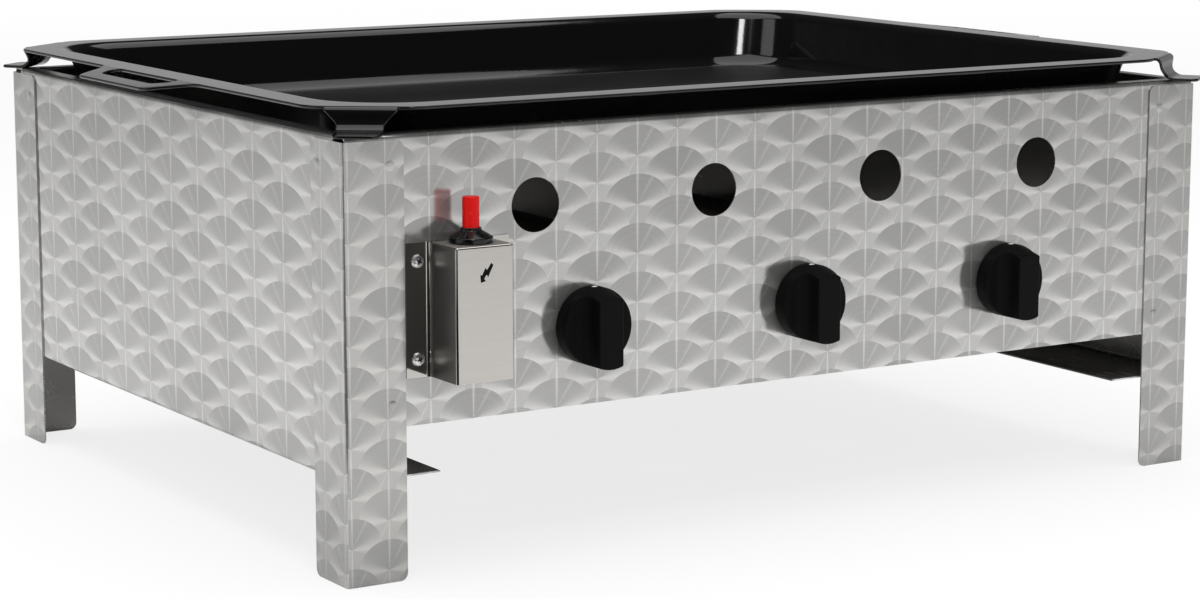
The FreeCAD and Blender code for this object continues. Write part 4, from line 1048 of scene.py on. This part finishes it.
igniterSpring = {"wire": 0.0005, "coils": 9, "travel": 0.008, "axis": zAxis}
tapSpring = {"wire": 0.0004, "coils": 4, "travel": 0.0025, "axis": -yAxis}


def roundSection(radius, sides=10):
    turns = [2 * math.pi * step / sides for step in range(sides)]
    return [(radius * math.cos(turn), radius * math.sin(turn)) for turn in turns]


def buildSpring(node, body, kind):
    low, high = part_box(node)
    wire, axis = kind["wire"], kind["axis"]
    length = abs((high - low).dot(axis))
    outer = (high.x - low.x) / 2
    bm = helix(roundSection(wire), outer - wire, (length - 2 * wire) / kind["coils"], kind["coils"])
    foot = (low + high) / 2 - axis * length / 2
    moved(bm, aimed(foot, axis) @ Matrix.Translation((0, 0, wire)))
    coil = finishPiece(bm, node + "_coil", wireSteel, body, [node], 50)
    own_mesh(coil)


buildSpring("igniter_spring", "chassis", igniterSpring)
for tapName in tapNames:
    buildSpring("valve_spring_" + tapName, "tap_" + tapName, tapSpring)

tapNut = {"flats": 0.015, "bore": 0.00556, "edge": 0.0005}


def buildTapNuts():
    low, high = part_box("valve_panel_nuts")
    shapes = []
    for tap in tapNames:
        place = Vector((middleOf("knob_" + tap).x, high.y, (low.z + high.z) / 2))
        nut = hexagonShape(tapNut["flats"], high.y - low.y, tapNut["bore"], tapNut["edge"])
        shapes.append(moved(nut, aimed(place, -yAxis)))
    piece = finishPiece(gathered(shapes), "tap_panel_nuts", zinc, "chassis",
                        ["valve_panel_nuts"], 30)
    evenShading(piece)


inlet = {"thread": 0.00658, "length": 0.014, "pitch": 0.0013, "depth": 0.0008, "root": -0.0002, "foot": 0.95,
         "crest": 0.15, "bore": 0.003, "tailEdge": 0.0004, "flats": 0.017, "hexEdge": 0.0006,
         "hexTurn": math.pi / 6, "nutTurn": 0.2, "panel": 0.001, "bungLength": 0.012, "bungSize": 0.0148,
         "bungEdge": 0.001, "plate": 0.002, "plateSize": 0.018, "plateEdge": 0.0007}


def buildInlet():
    start, end = [corner.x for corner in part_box("gas_inlet_fitting")]
    nutStart, nutEnd = [corner.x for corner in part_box("inlet_lock_nut")]
    axis = middleOf("gas_inlet_fitting")
    axis.x = 0
    bore, depth, pitch = inlet["bore"], inlet["depth"], inlet["pitch"]
    core = inlet["thread"] - depth
    tailLength = end - nutStart
    tail = spunShape([(bore, 0), (core, 0), (core, tailLength), (bore, tailLength)], 48, closed=True)
    softenEdges(tail, inlet["tailEdge"], 2)
    moved(tail, aimed(axis + xAxis * nutStart, xAxis))
    root, foot, crest = inlet["root"], pitch / 2 * inlet["foot"], pitch / 2 * inlet["crest"]
    turns = int((inlet["length"] - 2 * pitch) / pitch)
    ridge = helix([(root, -foot), (depth, -crest), (depth, crest), (root, foot)], core, pitch, turns)
    moved(ridge, aimed(axis + xAxis * (nutEnd + pitch), xAxis))
    hexStart = start + inlet["bungLength"]
    body = hexagonShape(inlet["flats"], nutStart - inlet["panel"] - hexStart, 0, inlet["hexEdge"])
    moved(body, aimed(axis + xAxis * hexStart, xAxis, inlet["hexTurn"]))
    bung = softBlock((inlet["bungLength"], inlet["bungSize"], inlet["bungSize"]), inlet["bungEdge"])
    moved(bung, Matrix.Translation(axis + xAxis * (start + inlet["bungLength"] / 2)))
    plate = softBlock((inlet["plate"], inlet["plateSize"], inlet["plateSize"]), inlet["plateEdge"])
    moved(plate, Matrix.Translation(axis + xAxis * (hexStart - inlet["plate"] / 2)))
    union = finishPiece(gathered([tail, ridge, body, bung, plate]), "gas_inlet_union", brass, "chassis",
                        ["gas_inlet_fitting"], 30)
    evenShading(union)
    lock = hexagonShape(inlet["flats"], nutEnd - nutStart, inlet["thread"], inlet["hexEdge"])
    moved(lock, aimed(axis + xAxis * nutStart, xAxis, inlet["nutTurn"]))
    evenShading(finishPiece(lock, "inlet_ring_nut", brass, "chassis", ["inlet_lock_nut"], 30))


buildTapNuts()
buildInlet()
print("springs, nuts and inlet done")


# studio: floor, light, sky, cards and camera

studio = {"floorSize": 12.0, "floorLow": 0.87, "floorHigh": 0.89, "fadeStart": 1.6, "fadeEnd": 4.5,
          "fadeShare": 0.8, "skyTone": 0.66, "backdropTone": 0.47, "backdropTop": 0.18, "ceiling": 0.28,
          "ceilingTone": 0.03, "cardLow": 0.010, "cardHigh": 0.018,
          "cards": [("floorCard", (-1.43, -1.60, 0.003), 0, (1.20, 2.90)),
                    ("standingCard", (-2.26, -2.87, 0.70), 90, (2.20, 1.36))],
          "lamps": [("overheadBox", (0.0, 0.05, 2.2), (0.0, 0.05, 0.0), (2.6, 2.5), 39.0),
                    ("leftBox", (-2.1, 0.1, 1.9), (0.0, 0.0, 0.25), (1.0, 0.9), 5.0),
                    ("frontBox", (-0.71, -1.74, 2.11), (0.0, 0.0, 0.25), (0.40, 0.36), 11.0)]}
view = {"azimuth": -32.0147, "elevation": 9.6867, "distance": 2.1644, "lens": 92.6, "aside": 0.00543,
        "rise": 0.1058}


def flatSheet(size):
    bm = bmesh.new()
    bmesh.ops.create_grid(bm, x_segments=1, y_segments=1, size=size)
    return bm


def buildFloor():
    floor = meshObject(flatSheet(studio["floorSize"]), "studioFloor")
    material, tree, sockets, coords = newMaterial("studioFloor", Roughness=0.9, Specular_IOR_Level=0.1)
    tone = remap(tree, noise(tree, coords["Object"], 3.0), studio["floorLow"], studio["floorHigh"])
    connect(tree, tone, sockets["Base Color"])
    glow = addNode(tree, "Emission")
    away = addNode(tree, "VectorMath", {"Vector": coords["Object"]}, operation="LENGTH").outputs["Value"]
    fade = remap(tree, away, studio["fadeShare"], 1.0, studio["fadeStart"], studio["fadeEnd"], "SMOOTHSTEP")
    seen = addNode(tree, "LightPath").outputs["Is Camera Ray"]
    mix = addNode(tree, "MixShader", {"Fac": times(tree, seen, fade)})
    tree.links.new(tree.nodes["Principled BSDF"].outputs[0], mix.inputs[1])
    tree.links.new(glow.outputs[0], mix.inputs[2])
    tree.links.new(mix.outputs[0], tree.nodes["Material Output"].inputs["Surface"])
    floor.data.materials.append(material)


def buildLamps():
    for name, place, target, size, power in studio["lamps"]:
        lamp = bpy.data.lights.new(name, "AREA")
        lamp.shape = "RECTANGLE"
        lamp.size, lamp.size_y = size
        lamp.energy = power
        holder = bpy.data.objects.new(name, lamp)
        bpy.context.scene.collection.objects.link(holder)
        holder.location = place
        aim = Vector(target) - Vector(place)
        holder.rotation_euler = aim.to_track_quat("-Z", "Y").to_euler()


def buildSky():
    world = bpy.data.worlds.new("studioSky")
    bpy.context.scene.world = world
    world.use_nodes = True
    tree = world.node_tree
    rays = addNode(tree, "LightPath").outputs
    mirrored = calc(tree, "MAXIMUM", rays["Is Glossy Ray"], rays["Is Transmission Ray"])
    height = axes(tree, addNode(tree, "TexCoord").outputs["Generated"])["Z"]
    backdrop = remap(tree, height, studio["backdropTone"], studio["ceilingTone"], studio["backdropTop"],
                     studio["ceiling"], "SMOOTHSTEP")
    tone = timesPlus(tree, mirrored, minus(tree, backdrop, studio["skyTone"]), studio["skyTone"])
    sky = tree.nodes["Background"]
    sky.inputs["Color"].default_value = (1, 1, 1, 1)
    connect(tree, calc(tree, "MAXIMUM", tone, rays["Is Camera Ray"]), sky.inputs["Strength"])


def buildCards():
    material, tree, sockets, coords = newMaterial("darkCard", Roughness=0.9, Specular_IOR_Level=0.0)
    tone = remap(tree, noise(tree, coords["Object"], 5.0), studio["cardLow"], studio["cardHigh"])
    connect(tree, tone, sockets["Base Color"])
    turn = Matrix.Rotation(math.radians(view["azimuth"]), 4, "Z")
    for name, place, tilt, size in studio["cards"]:
        bm = flatSheet(0.5)
        bmesh.ops.scale(bm, vec=(*size, 1), verts=bm.verts[:])
        moved(bm, Matrix.Translation(place) @ turn @ Matrix.Rotation(math.radians(tilt), 4, "X"))
        card = meshObject(bm, name)
        card.data.materials.append(material)
        card.visible_camera = False  # only steel and enamel mirror it
        card.visible_diffuse = False
        card.visible_shadow = False


def buildCamera():
    turn, tilt = math.radians(view["azimuth"]), math.radians(view["elevation"])
    back = Vector((math.sin(turn) * math.cos(tilt), -math.cos(turn) * math.cos(tilt), math.sin(tilt)))
    aside = Vector((math.cos(turn), math.sin(turn), 0))
    target = bodyMiddle + aside * view["aside"] + zAxis * view["rise"]
    lens = bpy.data.cameras.new("photoCamera")
    lens.lens = view["lens"]
    lens.sensor_width = 36
    holder = bpy.data.objects.new("photoCamera", lens)
    bpy.context.scene.collection.objects.link(holder)
    holder.location = target + back * view["distance"]
    holder.rotation_euler = (-back).to_track_quat("-Z", "Y").to_euler()
    bpy.context.scene.camera = holder


buildFloor()
buildLamps()
buildSky()
buildCards()
buildCamera()
bpy.context.scene.view_settings.view_transform = "Standard"
print("studio done")
